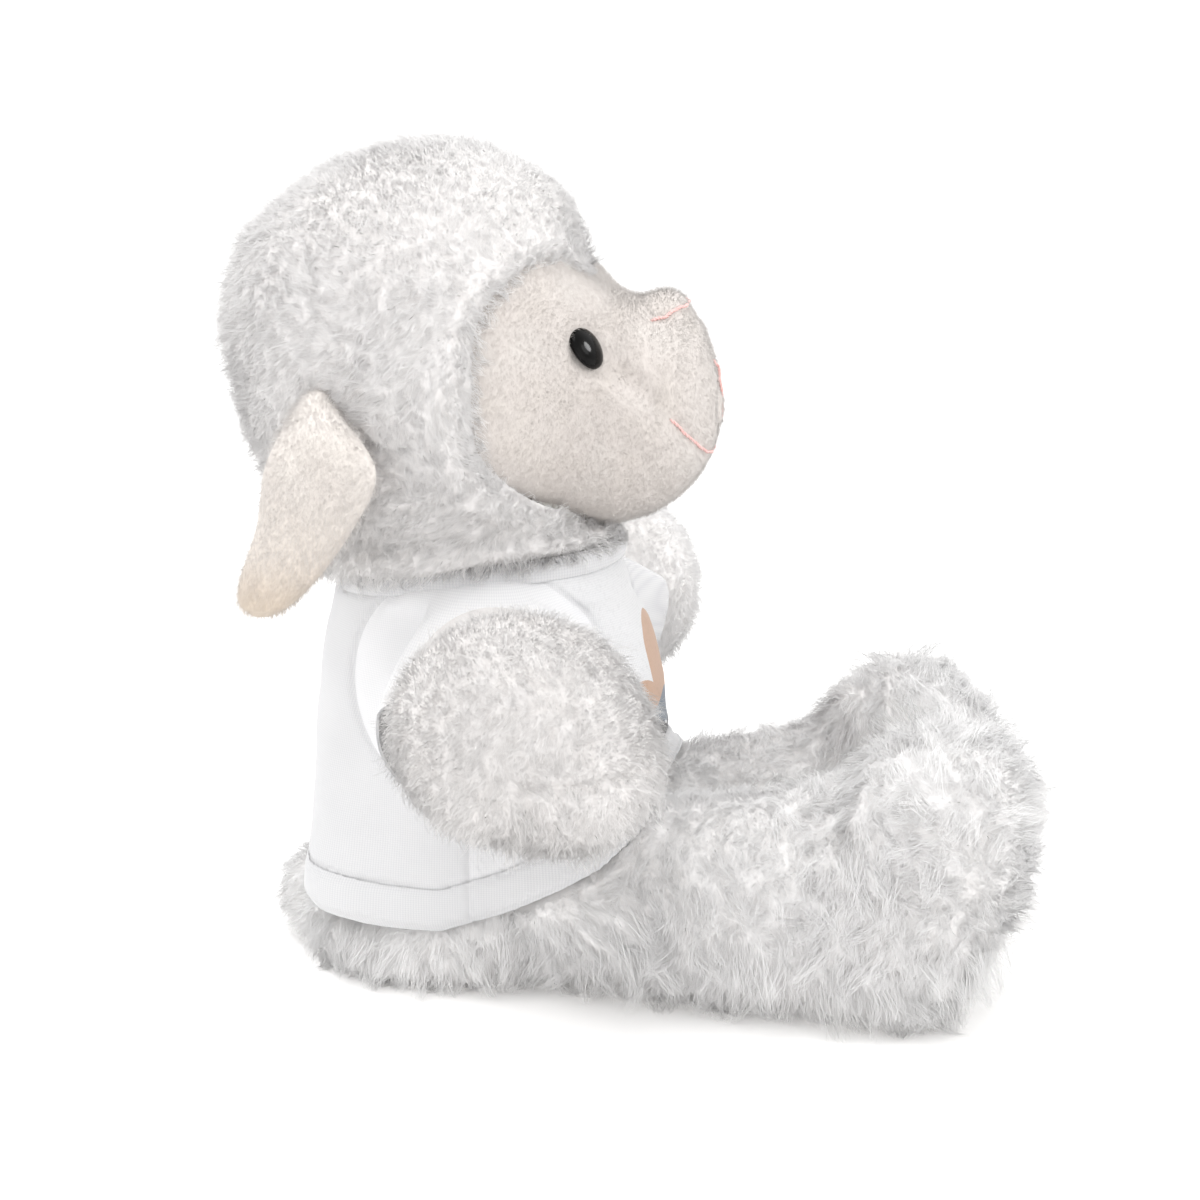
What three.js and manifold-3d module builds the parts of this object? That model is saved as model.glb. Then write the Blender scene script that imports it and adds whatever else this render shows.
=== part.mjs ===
// Seated plush lamb wearing a short-sleeved tee, as a sewn assembly.
// Millimetres, +Z up. The lamb faces -Y, its left side is +X, and it sits on Z = 0.
// Each stuffed section is a set of sewn skin panels around a loose fibre filling.
// The limbs, head, ears and tail hinge at their sewn roots, which are ball shaped.
import * as THREE from "three";
import { mergeVertices } from "three/addons/utils/BufferGeometryUtils.js";
import Module from "manifold-3d";

const wasm = await Module();
wasm.setup();

// ---------------------------------------------------------------- dimensions
const SKIN = 2.0; // plush backing and the dense foot of its pile
const GAP = 0.35; // between pieces that touch
const SEAM = 0.3; // between two panels sewn edge to edge

// head: a wool ball, a face set into its front, a muzzle and a neck ball
const BALL = { f: -47, z: 149, rx: 46.5, rf: 49.5, rz: 49.5 };
const NECK = { f: -38, z: 118, r: 34, open: 91 };
const CROWN_HALF = 15; // half width of the strip over the crown
// the hollow of the forehead, between the wool's front edge and the muzzle
const BROW = { depth: 7, wide: 18, z: 174, up: 10, down: 6.5 };
const NOSE = { f: 8.7, z: 161.5, rx: 11, rf: 5.4, rz: 5 };
const FACE = { z: 146, hx: 42.8, hz: 30, power: 3 };
// muzzle sections: forward position, half width, underside, top
const MUZZLE = [
  [-22, 27, 112, 160],
  [-12, 28, 110.5, 163],
  [-2, 27.5, 110.3, 164.2],
  [6, 26, 112.8, 165],
  [12, 23, 116.8, 163.2],
  [17, 17.5, 122.2, 157.5],
  [20.5, 10, 128.5, 149.5],
  [22, 3.5, 134, 142],
];
const EYE = { x: 25.5, z: 155, r: 5.25, dome: 3.6, shank: 1.7, shankLength: 10.5 };
const WASHER = { r: 6, bore: 2.05, thick: 1.2 };
const THREAD_R = 0.55;
// ear stations down its length: x, forward, height, full width
const EAR = [
  [-45.6, -67.2, 145, 7.5],
  [-49, -66.6, 140.4, 11.6],
  [-52.2, -65.2, 135.2, 19],
  [-53.8, -64.4, 129.6, 24.4],
  [-54, -65.4, 123.6, 24.6],
  [-53.4, -68, 116.5, 22],
  [-52.6, -71.4, 109.2, 20],
  [-52, -75.2, 102.4, 17],
  [-51.4, -77.8, 97.4, 12],
  [-51.2, -78.8, 94.8, 5],
];
const EAR_LAYER = 1.7;

// torso sections: height, centre forward, half depth, half width
const TORSO = [
  [0, -42, 28, 31],
  [5, -40, 35.5, 36],
  [15, -36.8, 39.4, 38.6],
  [30, -34.8, 40.6, 39.6],
  [50, -34, 40.6, 39.6],
  [70, -34.6, 38.6, 37.5],
  [84, -35.6, 35.8, 34.8],
  [94, -36.8, 32.4, 32],
  [100, -37.6, 28.5, 28.5],
];
const SEAT_CUT = 2.2;
const POUCH = { f: -44, r: 23, low: 2.7, high: 19 };

// tee
const TEE_IN = 1.1;
const TEE_OUT = 2.5;
const HEM_OUT = 3.3;
const HEM_HEIGHT = 10.5;
const COLLAR = { low: 91.5, high: 99.5, slope: 0.11 };
// lower edge of the hem, seen from the side: forward, height
const HEM_LINE = [
  [-90, 15],
  [-50, 15],
  [-38, 16],
  [-26, 20],
  [-14, 28],
  [-4, 37],
  [3, 44],
  [12, 48],
  [30, 50],
];

// arms, legs and tail
const ARM = {
  x: 38,
  f: -29,
  z: 77,
  dir: [0.925, 0.332, -0.19],
  cut: -8,
  wide: 1.16, // fore and aft
  flat: 0.92, // up and down
  farRaise: 11, // the left arm is held a little higher than the right
  profile: [
    [-17, 0],
    [-12.6, 11.4],
    [-6, 15.8],
    [0, 17],
    [8, 19.2],
    [18, 23],
    [28, 24.4],
    [37, 23],
    [46, 18],
    [52, 10],
    [54.5, 0],
  ],
};
const SLEEVE = { low: -4, high: 14, gap: 0.55, thick: 1.4 };
const LEG = { x: 20.3, f: -12, z: 22.3, r: 19.4, splay: 0.205, cut: -8 };
// leg tube sections: distance from the hip, half width, half height, centre height
const LEG_TUBE = [
  [0, 19.4, 19.4, 22.3],
  [14, 20, 21, 22.3],
  [34, 20.6, 23, 22.7],
  [56, 21, 24.6, 24.2],
  [74, 20, 25, 24.7],
  [86, 15, 20, 27],
];
const FOOT = { s: 89.7, z: 32.3, rx: 21.5, rf: 20.3, rz: 32.6, lean: 0.12 };
// the left foot is stuffed to stand further back
const LEFT_FOOT = { ...FOOT, s: 86.5, lean: -0.25 };
const TAIL = { f: -73.5, z: 16, r: 8, tipF: -76.5, tipZ: 13, tipR: 9 };

// ranges that the sewn roots allow, in degrees
const ARM_RANGE = [-12, 35];
const LEG_RANGE = [-6, 35];
const TAIL_RANGE = [-6, 30];
const NOD_UP = -12;

// ------------------------------------------------------------------- helpers
const V = (x, f, z) => new THREE.Vector3(x, -f, z);

// A closed mesh as a solid that can be joined and cut.
function solid(geometry) {
  const g = geometry.clone();
  for (const name of Object.keys(g.attributes))
    if (name !== "position") g.deleteAttribute(name);
  const merged = mergeVertices(g, 1e-4);
  const triVerts = new Uint32Array(merged.index.array);
  const vertProperties = new Float32Array(merged.attributes.position.array);
  const made = new wasm.Manifold(
    new wasm.Mesh({ numProp: 3, vertProperties, triVerts }),
  );
  if (made.volume() > 0) return made;
  for (let i = 0; i < triVerts.length; i += 3)
    [triVerts[i + 1], triVerts[i + 2]] = [triVerts[i + 2], triVerts[i + 1]];
  return new wasm.Manifold(
    new wasm.Mesh({ numProp: 3, vertProperties, triVerts }),
  );
}

// The largest body of a solid, as a geometry for a mesh.
function geometryOf(made) {
  const bodies = made.decompose().sort((a, b) => b.volume() - a.volume());
  const m = bodies[0].getMesh();
  const v = new Float32Array(m.numVert * 3);
  for (let i = 0; i < m.numVert; i++)
    v.set(m.vertProperties.subarray(i * m.numProp, i * m.numProp + 3), i * 3);
  const g = new THREE.BufferGeometry()
    .setAttribute("position", new THREE.BufferAttribute(v, 3))
    .setIndex(new THREE.BufferAttribute(new Uint32Array(m.triVerts), 1));
  g.computeVertexNormals();
  return g;
}

const join = (...list) => list.reduce((a, b) => a.add(b));
const cut = (a, ...list) => list.reduce((s, b) => s.subtract(b), a);

// Rings of points joined side by side and closed at both ends.
function loft(rings) {
  const n = rings[0].length;
  const points = rings.flat();
  const index = [];
  for (let r = 0; r + 1 < rings.length; r++)
    for (let i = 0; i < n; i++) {
      const a = r * n + i,
        b = r * n + ((i + 1) % n),
        c = a + n,
        d = b + n;
      index.push(a, b, d, a, d, c);
    }
  for (const [start, flip] of [
    [0, true],
    [(rings.length - 1) * n, false],
  ]) {
    const middle = new THREE.Vector3();
    for (let i = 0; i < n; i++) middle.addScaledVector(points[start + i], 1 / n);
    const m = points.push(middle) - 1;
    for (let i = 0; i < n; i++) {
      const a = start + i,
        b = start + ((i + 1) % n);
      index.push(...(flip ? [b, a, m] : [a, b, m]));
    }
  }
  const g = new THREE.BufferGeometry().setFromPoints(points);
  g.setIndex(index);
  return g;
}

// A rounded outline of the given half sizes; power 2 is an ellipse.
function oval(n, a, b, power) {
  return Array.from({ length: n }, (_, i) => {
    const t = (2 * Math.PI * i) / n,
      c = Math.cos(t),
      s = Math.sin(t);
    return [
      a * Math.sign(c) * Math.abs(c) ** (2 / power),
      b * Math.sign(s) * Math.abs(s) ** (2 / power),
    ];
  });
}

function ellipsoid(x, f, z, rx, rf, rz, wide = 20, high = 14) {
  const g = new THREE.SphereGeometry(1, wide, high);
  g.rotateX(Math.PI / 2);
  g.scale(rx, rf, rz);
  g.translate(x, -f, z);
  return g;
}

function block(x0, x1, f0, f1, z0, z1) {
  const g = new THREE.BoxGeometry(x1 - x0, f1 - f0, z1 - z0);
  g.translate((x0 + x1) / 2, -(f0 + f1) / 2, (z0 + z1) / 2);
  return solid(g);
}

// An outline in the side view (forward, height) carried across from x0 to x1.
function sideSlab(outline, x0, x1) {
  const shape = new THREE.Shape(outline.map(([f, z]) => new THREE.Vector2(-f, z)));
  const g = new THREE.ExtrudeGeometry(shape, {
    depth: x1 - x0,
    bevelEnabled: false,
  });
  // shape x -> row Y, shape y -> row Z, depth -> row X
  g.applyMatrix4(new THREE.Matrix4().set(0, 0, 1, x0, 1, 0, 0, 0, 0, 1, 0, 0, 0, 0, 0, 1));
  return solid(g);
}

const turned = (made, axis, degrees, p) => {
  const m = new THREE.Matrix4()
    .makeTranslation(p.x, p.y, p.z)
    .multiply(
      new THREE.Matrix4().makeRotationAxis(
        axis,
        THREE.MathUtils.degToRad(degrees),
      ),
    )
    .multiply(new THREE.Matrix4().makeTranslation(-p.x, -p.y, -p.z));
  return made.transform(m.elements);
};

// Everything that a piece passes through as it turns over its range.
function swept(made, axis, range, p, steps) {
  const list = [];
  for (let i = 0; i <= steps; i++)
    list.push(turned(made, axis, range[0] + ((range[1] - range[0]) * i) / steps, p));
  return join(...list);
}

const mirrorX = (made) => made.transform(new THREE.Matrix4().makeScale(-1, 1, 1).elements);

// ----------------------------------------------------------------- materials
const cloth = (color, roughness) =>
  new THREE.MeshStandardMaterial({ color, roughness, metalness: 0 });
const WOOL = cloth(0xe9e6e4, 0.95);
const IVORY = cloth(0xe9e1d8, 0.85);
const TEE = cloth(0xf4f4f4, 0.8);
const FIBRE = cloth(0xf2f0ea, 1.0);
const PELLET = cloth(0xd9d4c8, 0.7);
const PINK = cloth(0xf0bcb6, 0.7);
const THREAD = cloth(0xe6e2de, 0.8);
const BLACK = new THREE.MeshStandardMaterial({
  color: 0x0b0b0b,
  roughness: 0.08,
  metalness: 0,
});
const NYLON = new THREE.MeshStandardMaterial({
  color: 0xe8e8e4,
  roughness: 0.5,
  metalness: 0,
});

const lamb = new THREE.Group();
lamb.name = "plush_lamb";
const group = (name) => {
  const g = new THREE.Group();
  g.name = name;
  lamb.add(g);
  return g;
};
const torsoGroup = group("torso");
const neckGroup = group("neck");
const headGroup = group("head");
function piece(parent, name, made, material) {
  const mesh = new THREE.Mesh(
    made.isBufferGeometry ? made : geometryOf(made),
    material,
  );
  mesh.name = name;
  parent.add(mesh);
  return mesh;
}

// ------------------------------------------------------------ moving envelopes
const armAt = V(ARM.x, ARM.f, ARM.z);
const armAxis = V(...ARM.dir).normalize();
const armUp = new THREE.Vector3(0, 0, 1);
armUp.addScaledVector(armAxis, -armUp.dot(armAxis)).normalize();
// The arm's own frame: +Y runs down the arm and +Z is its upper side.
const armFrame = new THREE.Matrix4()
  .makeBasis(new THREE.Vector3().crossVectors(armAxis, armUp), armAxis, armUp)
  .setPosition(armAt);
// A profile of (distance from the shoulder, radius) turned about the arm's axis.
function alongArm(profile, sides, wide = ARM.wide, flat = ARM.flat) {
  const g = new THREE.LatheGeometry(
    profile.map(([s, r]) => new THREE.Vector2(r, s)),
    sides,
  );
  g.scale(wide, 1, flat);
  g.applyMatrix4(armFrame);
  return solid(g);
}
const grown = (profile, by) =>
  profile.map(([s, r], i) => [
    s + (i === 0 ? -by : i === profile.length - 1 ? by : 0),
    r === 0 ? 0 : Math.max(r + by, 0.5),
  ]);
const armBehind = (s) => {
  const g = new THREE.BoxGeometry(200, 200, 200);
  g.translate(0, -100 + s, 0);
  g.applyMatrix4(armFrame);
  return solid(g);
};
// the room that a shoulder needs: a ball behind and a cone that opens outwards
const FORWARD = new THREE.Vector3(0, -1, 0);
const armReach = alongArm(
  [
    [-23.4, 0],
    [-20, 12],
    [-12, 20.4],
    [0, 24],
    [8, 27],
    [18, 34.5],
    [30, 43],
    [30, 0],
  ],
  12,
  1,
  1,
);
const armRoom = join(armReach, mirrorX(armReach));

const legAt = V(LEG.x, LEG.f, LEG.z);
const legDir = V(LEG.splay, Math.sqrt(1 - LEG.splay ** 2), 0);
const legSide = V(Math.sqrt(1 - LEG.splay ** 2), -LEG.splay, 0);
const onLeg = (s, side, z) =>
  V(LEG.x, LEG.f, 0)
    .addScaledVector(legDir, s)
    .addScaledVector(legSide, side)
    .setZ(z);
function legTube(by, sides = 10) {
  return solid(
    loft(
      LEG_TUBE.map(([s, a, b, z]) =>
        oval(sides, a + by, b + by, 2.1).map(([u, w]) => onLeg(s, u, z + w)),
      ),
    ),
  );
}
function footSolid(by, foot) {
  const g = new THREE.SphereGeometry(1, 10, 8);
  g.rotateX(Math.PI / 2);
  g.scale(foot.rx + by, foot.rf + by, foot.rz + by);
  g.rotateX(foot.lean);
  const angle = Math.atan2(legDir.x, -legDir.y);
  g.rotateZ(angle);
  const p = onLeg(foot.s, 0, foot.z);
  g.translate(p.x, p.y, p.z);
  return solid(g);
}
const hipBall = (by, wide = 10, high = 7) =>
  solid(ellipsoid(LEG.x, LEG.f, LEG.z, LEG.r + by, LEG.r + by, LEG.r + by, wide, high));
const legSolid = (by, foot) => join(hipBall(by), legTube(by), footSolid(by, foot));
const ACROSS = new THREE.Vector3(1, 0, 0);
// positive turns lower the foot
const legTubeRoot = solid(
  loft(
    [LEG_TUBE[0], LEG_TUBE[2]].map(([s, a, b, z]) =>
      oval(8, a + 2.4, b + 2.4, 2.1).map(([u, w]) => onLeg(s, u, z + w)),
    ),
  ),
);
const legReach = join(hipBall(1.9, 10, 6), swept(legTubeRoot, ACROSS, LEG_RANGE, legAt, 1));
const legRoom = join(legReach, mirrorX(legReach));

const tailAt = V(0, TAIL.f, TAIL.z);
const tailSolid = (by, sides = 10) => {
  const d = new THREE.Vector3(0, -(TAIL.tipF - TAIL.f), TAIL.tipZ - TAIL.z);
  const long = d.length();
  const g = new THREE.LatheGeometry(
    [
      [-TAIL.r - by, 0],
      [-(TAIL.r + by) * 0.72, (TAIL.r + by) * 0.7],
      [0, TAIL.r + by],
      [long * 0.6, (TAIL.tipR + by) * 0.97],
      [long, TAIL.tipR + by],
      [long + (TAIL.tipR + by) * 0.62, (TAIL.tipR + by) * 0.78],
      [long + (TAIL.tipR + by) * 0.93, (TAIL.tipR + by) * 0.36],
      [long + TAIL.tipR + by, 0],
    ].map(([s, r]) => new THREE.Vector2(r, s)),
    sides,
  );
  g.applyQuaternion(
    new THREE.Quaternion().setFromUnitVectors(
      new THREE.Vector3(0, 1, 0),
      d.clone().normalize(),
    ),
  );
  g.translate(tailAt.x, tailAt.y, tailAt.z);
  return solid(g);
};
// positive turns lift the tail
const tailReach = swept(tailSolid(1.1, 8), ACROSS, TAIL_RANGE, tailAt, 1);

const neckBall = (by) =>
  solid(
    ellipsoid(0, NECK.f, NECK.z, NECK.r + by, NECK.r + by, NECK.r + by, 14, 9),
  );
const neckRoom = neckBall(1.8);

// -------------------------------------------------------------------- torso
function torsoSolid(by, low = 0, square = false) {
  return solid(
    loft(
      TORSO.map(([z, f, a, b]) => {
        const p = square ? 2.2 + 0.9 * Math.max(0, Math.min(1, (60 - z) / 30)) : 2.2;
        const down = z === 0 ? low : 0;
        return oval(16, b + by, a + by, p).map(([u, w]) => V(u, f + w, z + down));
      }),
    ),
  );
}
const above = (z) => block(-120, 120, -150, 150, z, 300);
const below = (z) => block(-120, 120, -150, 150, -50, z);
const MID_TORSO = -34.5;
const torsoBack = block(-120, 120, -150, MID_TORSO - SEAM / 2, -50, 300);
const torsoFront = block(-120, 120, MID_TORSO + SEAM / 2, 150, -50, 300);

const torsoInner = torsoSolid(-SKIN, SKIN);
const torsoShell = cut(
  torsoSolid(0),
  torsoInner,
  above(98.6),
  neckRoom,
  armRoom,
  legRoom,
  tailReach,
);
piece(
  torsoGroup,
  "torso_front_panel",
  cut(torsoShell.intersect(torsoFront), below(SEAT_CUT + SEAM / 2)),
  WOOL,
);
piece(
  torsoGroup,
  "torso_back_panel",
  cut(torsoShell.intersect(torsoBack), below(SEAT_CUT + SEAM / 2)),
  WOOL,
);
piece(
  torsoGroup,
  "seat_panel",
  cut(torsoShell, above(SEAT_CUT - SEAM / 2)),
  WOOL,
);
const pouchShape = (by, low) =>
  solid(
    loft(
      [
        [low, 0.92],
        [POUCH.low + 4, 1],
        [POUCH.low + 9, 0.94],
        [POUCH.high - 3, 0.7],
        [POUCH.high + by, 0.3],
      ].map(([z, k]) =>
        oval(16, POUCH.r * k + by, POUCH.r * k + by, 2).map(([u, w]) =>
          V(u, POUCH.f + w, z),
        ),
      ),
    ),
  );
piece(
  torsoGroup,
  "pellet_pouch",
  cut(pouchShape(0, POUCH.low), legRoom),
  PELLET,
);
// rooms for the filling, a little larger and plainer
const fillRoom = [
  [ARM.x, ARM.f, ARM.z, 24],
  [LEG.x, LEG.f, LEG.z, 23.5],
].flatMap(([x, f, z, r]) => [
  solid(ellipsoid(x, f, z, r, r, r, 10, 6)),
  solid(ellipsoid(-x, f, z, r, r, r, 10, 6)),
]);
piece(
  torsoGroup,
  "torso_filling",
  cut(
    torsoSolid(-SKIN - GAP, SKIN + 0.6),
    above(96.5),
    neckBall(2.2),
    ...fillRoom,
    block(-60, 60, LEG.f, 60, -10, 50),
    tailReach,
    pouchShape(0.5, -2),
  ),
  FIBRE,
);

// ---------------------------------------------------------------------- tee
// everything below the hem's lower edge, raised by dz
const underHem = (dz) =>
  sideSlab(
    [[-150, -50], [150, -50], [150, 50 + dz], ...HEM_LINE.map(([f, z]) => [f, z + dz]).reverse(), [-150, 15 + dz]],
    -120,
    120,
  );
// everything above a plane that rises towards the throat
const overSlope = (z) =>
  sideSlab(
    [
      [-150, z + (-150 - NECK.f) * COLLAR.slope],
      [150, z + (150 - NECK.f) * COLLAR.slope],
      [150, 300],
      [-150, 300],
    ],
    -120,
    120,
  );
const teeRoom = [neckRoom, armRoom, legRoom, tailReach];
const teeShell = cut(
  torsoSolid(TEE_OUT, 0, true),
  torsoSolid(TEE_IN, -5, true),
  overSlope(COLLAR.low - GAP),
  underHem(HEM_HEIGHT + GAP),
  ...teeRoom,
);
piece(torsoGroup, "tee_front_panel", teeShell.intersect(torsoFront), TEE);
piece(torsoGroup, "tee_back_panel", teeShell.intersect(torsoBack), TEE);
piece(
  torsoGroup,
  "tee_hem_band",
  cut(
    torsoSolid(HEM_OUT, 0, true),
    torsoSolid(TEE_IN, -5, true),
    underHem(0),
    solid(
      (() => {
        const outline = [[-150, 15 + HEM_HEIGHT], ...HEM_LINE.map(([f, z]) => [f, z + HEM_HEIGHT]), [150, 50 + HEM_HEIGHT], [150, 300], [-150, 300]];
        const shape = new THREE.Shape(outline.map(([f, z]) => new THREE.Vector2(-f, z)));
        const g = new THREE.ExtrudeGeometry(shape, { depth: 240, bevelEnabled: false });
        g.applyMatrix4(new THREE.Matrix4().set(0, 0, 1, -120, 1, 0, 0, 0, 0, 1, 0, 0, 0, 0, 0, 1));
        return g;
      })(),
    ),
    ...teeRoom,
  ),
  TEE,
);
const collarCone = (by) =>
  solid(
    loft(
      [
        [80, 39.6],
        [90, 36],
        [97, 33.9],
        [112, 33.6],
      ].map(([z, r]) => oval(16, r + by, r + by, 2).map(([u, w]) => V(u, NECK.f + 1 + w, z))),
    ),
  );
piece(
  torsoGroup,
  "tee_collar_band",
  cut(
    collarCone(1.7),
    collarCone(0),
    overSlope(COLLAR.high),
    sideSlab(
      [
        [-150, COLLAR.low + (-150 - NECK.f) * COLLAR.slope],
        [150, COLLAR.low + (150 - NECK.f) * COLLAR.slope],
        [150, -50],
        [-150, -50],
      ],
      -120,
      120,
    ),
    neckRoom,
    torsoSolid(0.4),
    armRoom,
  ),
  TEE,
);

// --------------------------------------------------------------------- neck
// the drawn-up seam that closes the body round the neck
const ring = new THREE.LatheGeometry(
  [
    [29.4, 98.9],
    [31.6, 98.9],
    [32.4, 100.3],
    [31.8, 102],
    [29.4, 98.9],
  ].map(([r, z]) => new THREE.Vector2(r, z)),
  20,
);
ring.rotateX(Math.PI / 2);
ring.translate(0, -NECK.f, 0);

// --------------------------------------------------------------------- head
const ball = (by) =>
  solid(ellipsoid(0, BALL.f, BALL.z, BALL.rx + by, BALL.rf + by, BALL.rz + by, 28, 20)).warp((v) => {
    const side = Math.exp(-((v[0] / BROW.wide) ** 2));
    const rise = v[2] - BROW.z;
    const high = Math.exp(-((rise / (rise > 0 ? BROW.up : BROW.down)) ** 2));
    const front = Math.min(1, Math.max(0, (35 - v[1]) / 20));
    const d = BROW.depth * side * high * front;
    v[1] += d * 0.9;
    v[2] -= d * 0.42;
  });
const nose = (by) =>
  solid(ellipsoid(0, NOSE.f, NOSE.z, NOSE.rx + by, NOSE.rf + by, NOSE.rz + by, 12, 8));
// the ring is hollowed where the back of the head comes down as the head tips up
const headTipped = turned(ball(0.7), ACROSS, NOD_UP, V(0, NECK.f, NECK.z));
piece(neckGroup, "neck_gather_ring", cut(solid(ring), neckBall(0.7), headTipped), THREAD);
const muzzle = (by) =>
  solid(
    loft(
      MUZZLE.map(([f, a, low, high], i) => {
        const end = by * [0, 0, 0, 0.15, 0.45, 0.8, 1, 1][i];
        return oval(14, Math.max(a + by, 1), Math.max((high - low) / 2 + by, 1), 2.35).map(([u, w]) =>
          V(u, f + end, (low + high) / 2 + w),
        );
      }),
    ),
  );
const headSolid = (by) => join(ball(by), neckBall(by), muzzle(by), nose(by));
const headInner = headSolid(-SKIN);
const headShell = cut(headSolid(0), headInner, below(NECK.open));
// the face's outline, carried forward from the middle of the head
function faceSlab(by) {
  const shape = new THREE.Shape(
    oval(20, FACE.hx + by, FACE.hz + by, FACE.power).map(([u, w]) => new THREE.Vector2(u, w)),
  );
  const g = new THREE.ExtrudeGeometry(shape, { depth: 100, bevelEnabled: false });
  // shape x -> row X, shape y -> row Z, depth -> forward
  g.applyMatrix4(
    new THREE.Matrix4().set(1, 0, 0, 0, 0, 0, -1, -BALL.f, 0, 1, 0, FACE.z, 0, 0, 0, 1),
  );
  return solid(g);
}
// the underside of the muzzle runs past the face's outline, so the slab takes it in as well
const faceRegion = (by) => join(faceSlab(by), muzzle(3 + by));
const wool = cut(headShell, faceRegion(SEAM / 2));
const faceAll = headShell.intersect(faceRegion(-SEAM / 2));
piece(headGroup, "head_crown_gusset", wool.intersect(block(-CROWN_HALF, CROWN_HALF, -150, 150, -50, 300)), WOOL);
piece(headGroup, "head_left_panel", wool.intersect(block(CROWN_HALF + SEAM, 120, -150, 150, -50, 300)), WOOL);
piece(headGroup, "head_right_panel", wool.intersect(block(-120, -CROWN_HALF - SEAM, -150, 150, -50, 300)), WOOL);

// eyes: a domed head on a ridged shank, held by a washer behind the cloth
const eyeAxis = V(0.55, 0.79, 0.27).normalize();
const ray = new THREE.Raycaster();
const faceMesh = new THREE.Mesh(geometryOf(headSolid(0)), IVORY);
faceMesh.updateMatrixWorld(true);
const hit = (from, dir) => {
  ray.set(from, dir);
  const found = ray.intersectObject(faceMesh)[0];
  return { point: found.point, normal: found.face.normal.clone() };
};
const eyeAt = hit(V(EYE.x, 90, EYE.z), V(0, -1, 0)).point;
const onEye = (profile, sides) => {
  const g = new THREE.LatheGeometry(
    profile.map(([s, r]) => new THREE.Vector2(r, s)),
    sides,
  );
  g.applyQuaternion(new THREE.Quaternion().setFromUnitVectors(new THREE.Vector3(0, 1, 0), eyeAxis));
  g.translate(eyeAt.x, eyeAt.y, eyeAt.z);
  return solid(g);
};
const EYE_BASE = 1.0; // the dome's flat back stands on the pile
const eyeSolid = onEye(
  [
    [-EYE.shankLength, 0],
    [-EYE.shankLength, EYE.shank * 0.7],
    [-EYE.shankLength + 1.2, EYE.shank],
    [EYE_BASE, EYE.shank],
    [EYE_BASE, EYE.r * 0.94],
    [EYE_BASE + 0.5, EYE.r],
    [EYE_BASE + 1.5, EYE.r * 0.93],
    [EYE_BASE + 2.5, EYE.r * 0.75],
    [EYE_BASE + 3.2, EYE.r * 0.45],
    [EYE_BASE + EYE.dome, 0],
  ],
  14,
);
const WASHER_AT = -5.6;
const washerSolid = (by) =>
  onEye(
    [
      [WASHER_AT - WASHER.thick - by, Math.max(WASHER.bore - by, 0.2)],
      [WASHER_AT - WASHER.thick - by, WASHER.r + by],
      [WASHER_AT + by, WASHER.r + by],
      [WASHER_AT + by, Math.max(WASHER.bore - by, 0.2)],
      [WASHER_AT - WASHER.thick - by, Math.max(WASHER.bore - by, 0.2)],
    ],
    12,
  );
const eyeHole = onEye(
  [
    [-EYE.shankLength - 0.8, 0],
    [-EYE.shankLength - 0.8, EYE.shank + 0.35],
    [EYE_BASE - 0.3, EYE.shank + 0.35],
    [EYE_BASE - 0.3, EYE.r + 0.6],
    [EYE_BASE + 5, EYE.r + 0.6],
    [EYE_BASE + 5, 0],
  ],
  14,
);
const washerPocket = onEye(
  [
    [-EYE.shankLength - 0.8, 0],
    [-EYE.shankLength - 0.8, WASHER.r + 0.5],
    [WASHER_AT + 4.6, WASHER.r + 0.5],
    [WASHER_AT + 4.6, 0],
  ],
  14,
);
const eyeHoles = join(eyeHole, mirrorX(eyeHole));
// the muzzle panel: in front of the fold beside the eye and above the line of the mouth
const muzzleSide = (by) =>
  sideSlab(
    [
      [0.5 - by, 200],
      [0.5 - by, 160],
      [2.2 - by, 150],
      [6 - by, 143 - by],
      [11 - by, 138 - by],
      [17 - by, 131.5 - by],
      [21.5 - by, 126 - by],
      [60, 116 - by],
      [60, 200],
    ],
    -120,
    120,
  );
piece(headGroup, "muzzle_panel", cut(faceAll.intersect(muzzleSide(-SEAM / 2)), eyeHoles), IVORY);
const cheeks = cut(faceAll, muzzleSide(SEAM / 2), eyeHoles);
piece(headGroup, "face_left_panel", cheeks.intersect(block(SEAM / 2, 120, -150, 150, -50, 300)), IVORY);
piece(headGroup, "face_right_panel", cheeks.intersect(block(-120, -SEAM / 2, -150, 150, -50, 300)), IVORY);
piece(headGroup, "left_eye", eyeSolid, BLACK);
piece(headGroup, "right_eye", mirrorX(eyeSolid), BLACK);
const washerMade = washerSolid(0);
piece(headGroup, "left_eye_washer", washerMade, NYLON);
piece(headGroup, "right_eye_washer", mirrorX(washerMade), NYLON);
piece(
  headGroup,
  "head_filling",
  cut(
    headSolid(-SKIN - GAP),
    below(NECK.open + 0.6),
    eyeHoles,
    washerPocket,
    mirrorX(washerPocket),
  ),
  FIBRE,
);

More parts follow.
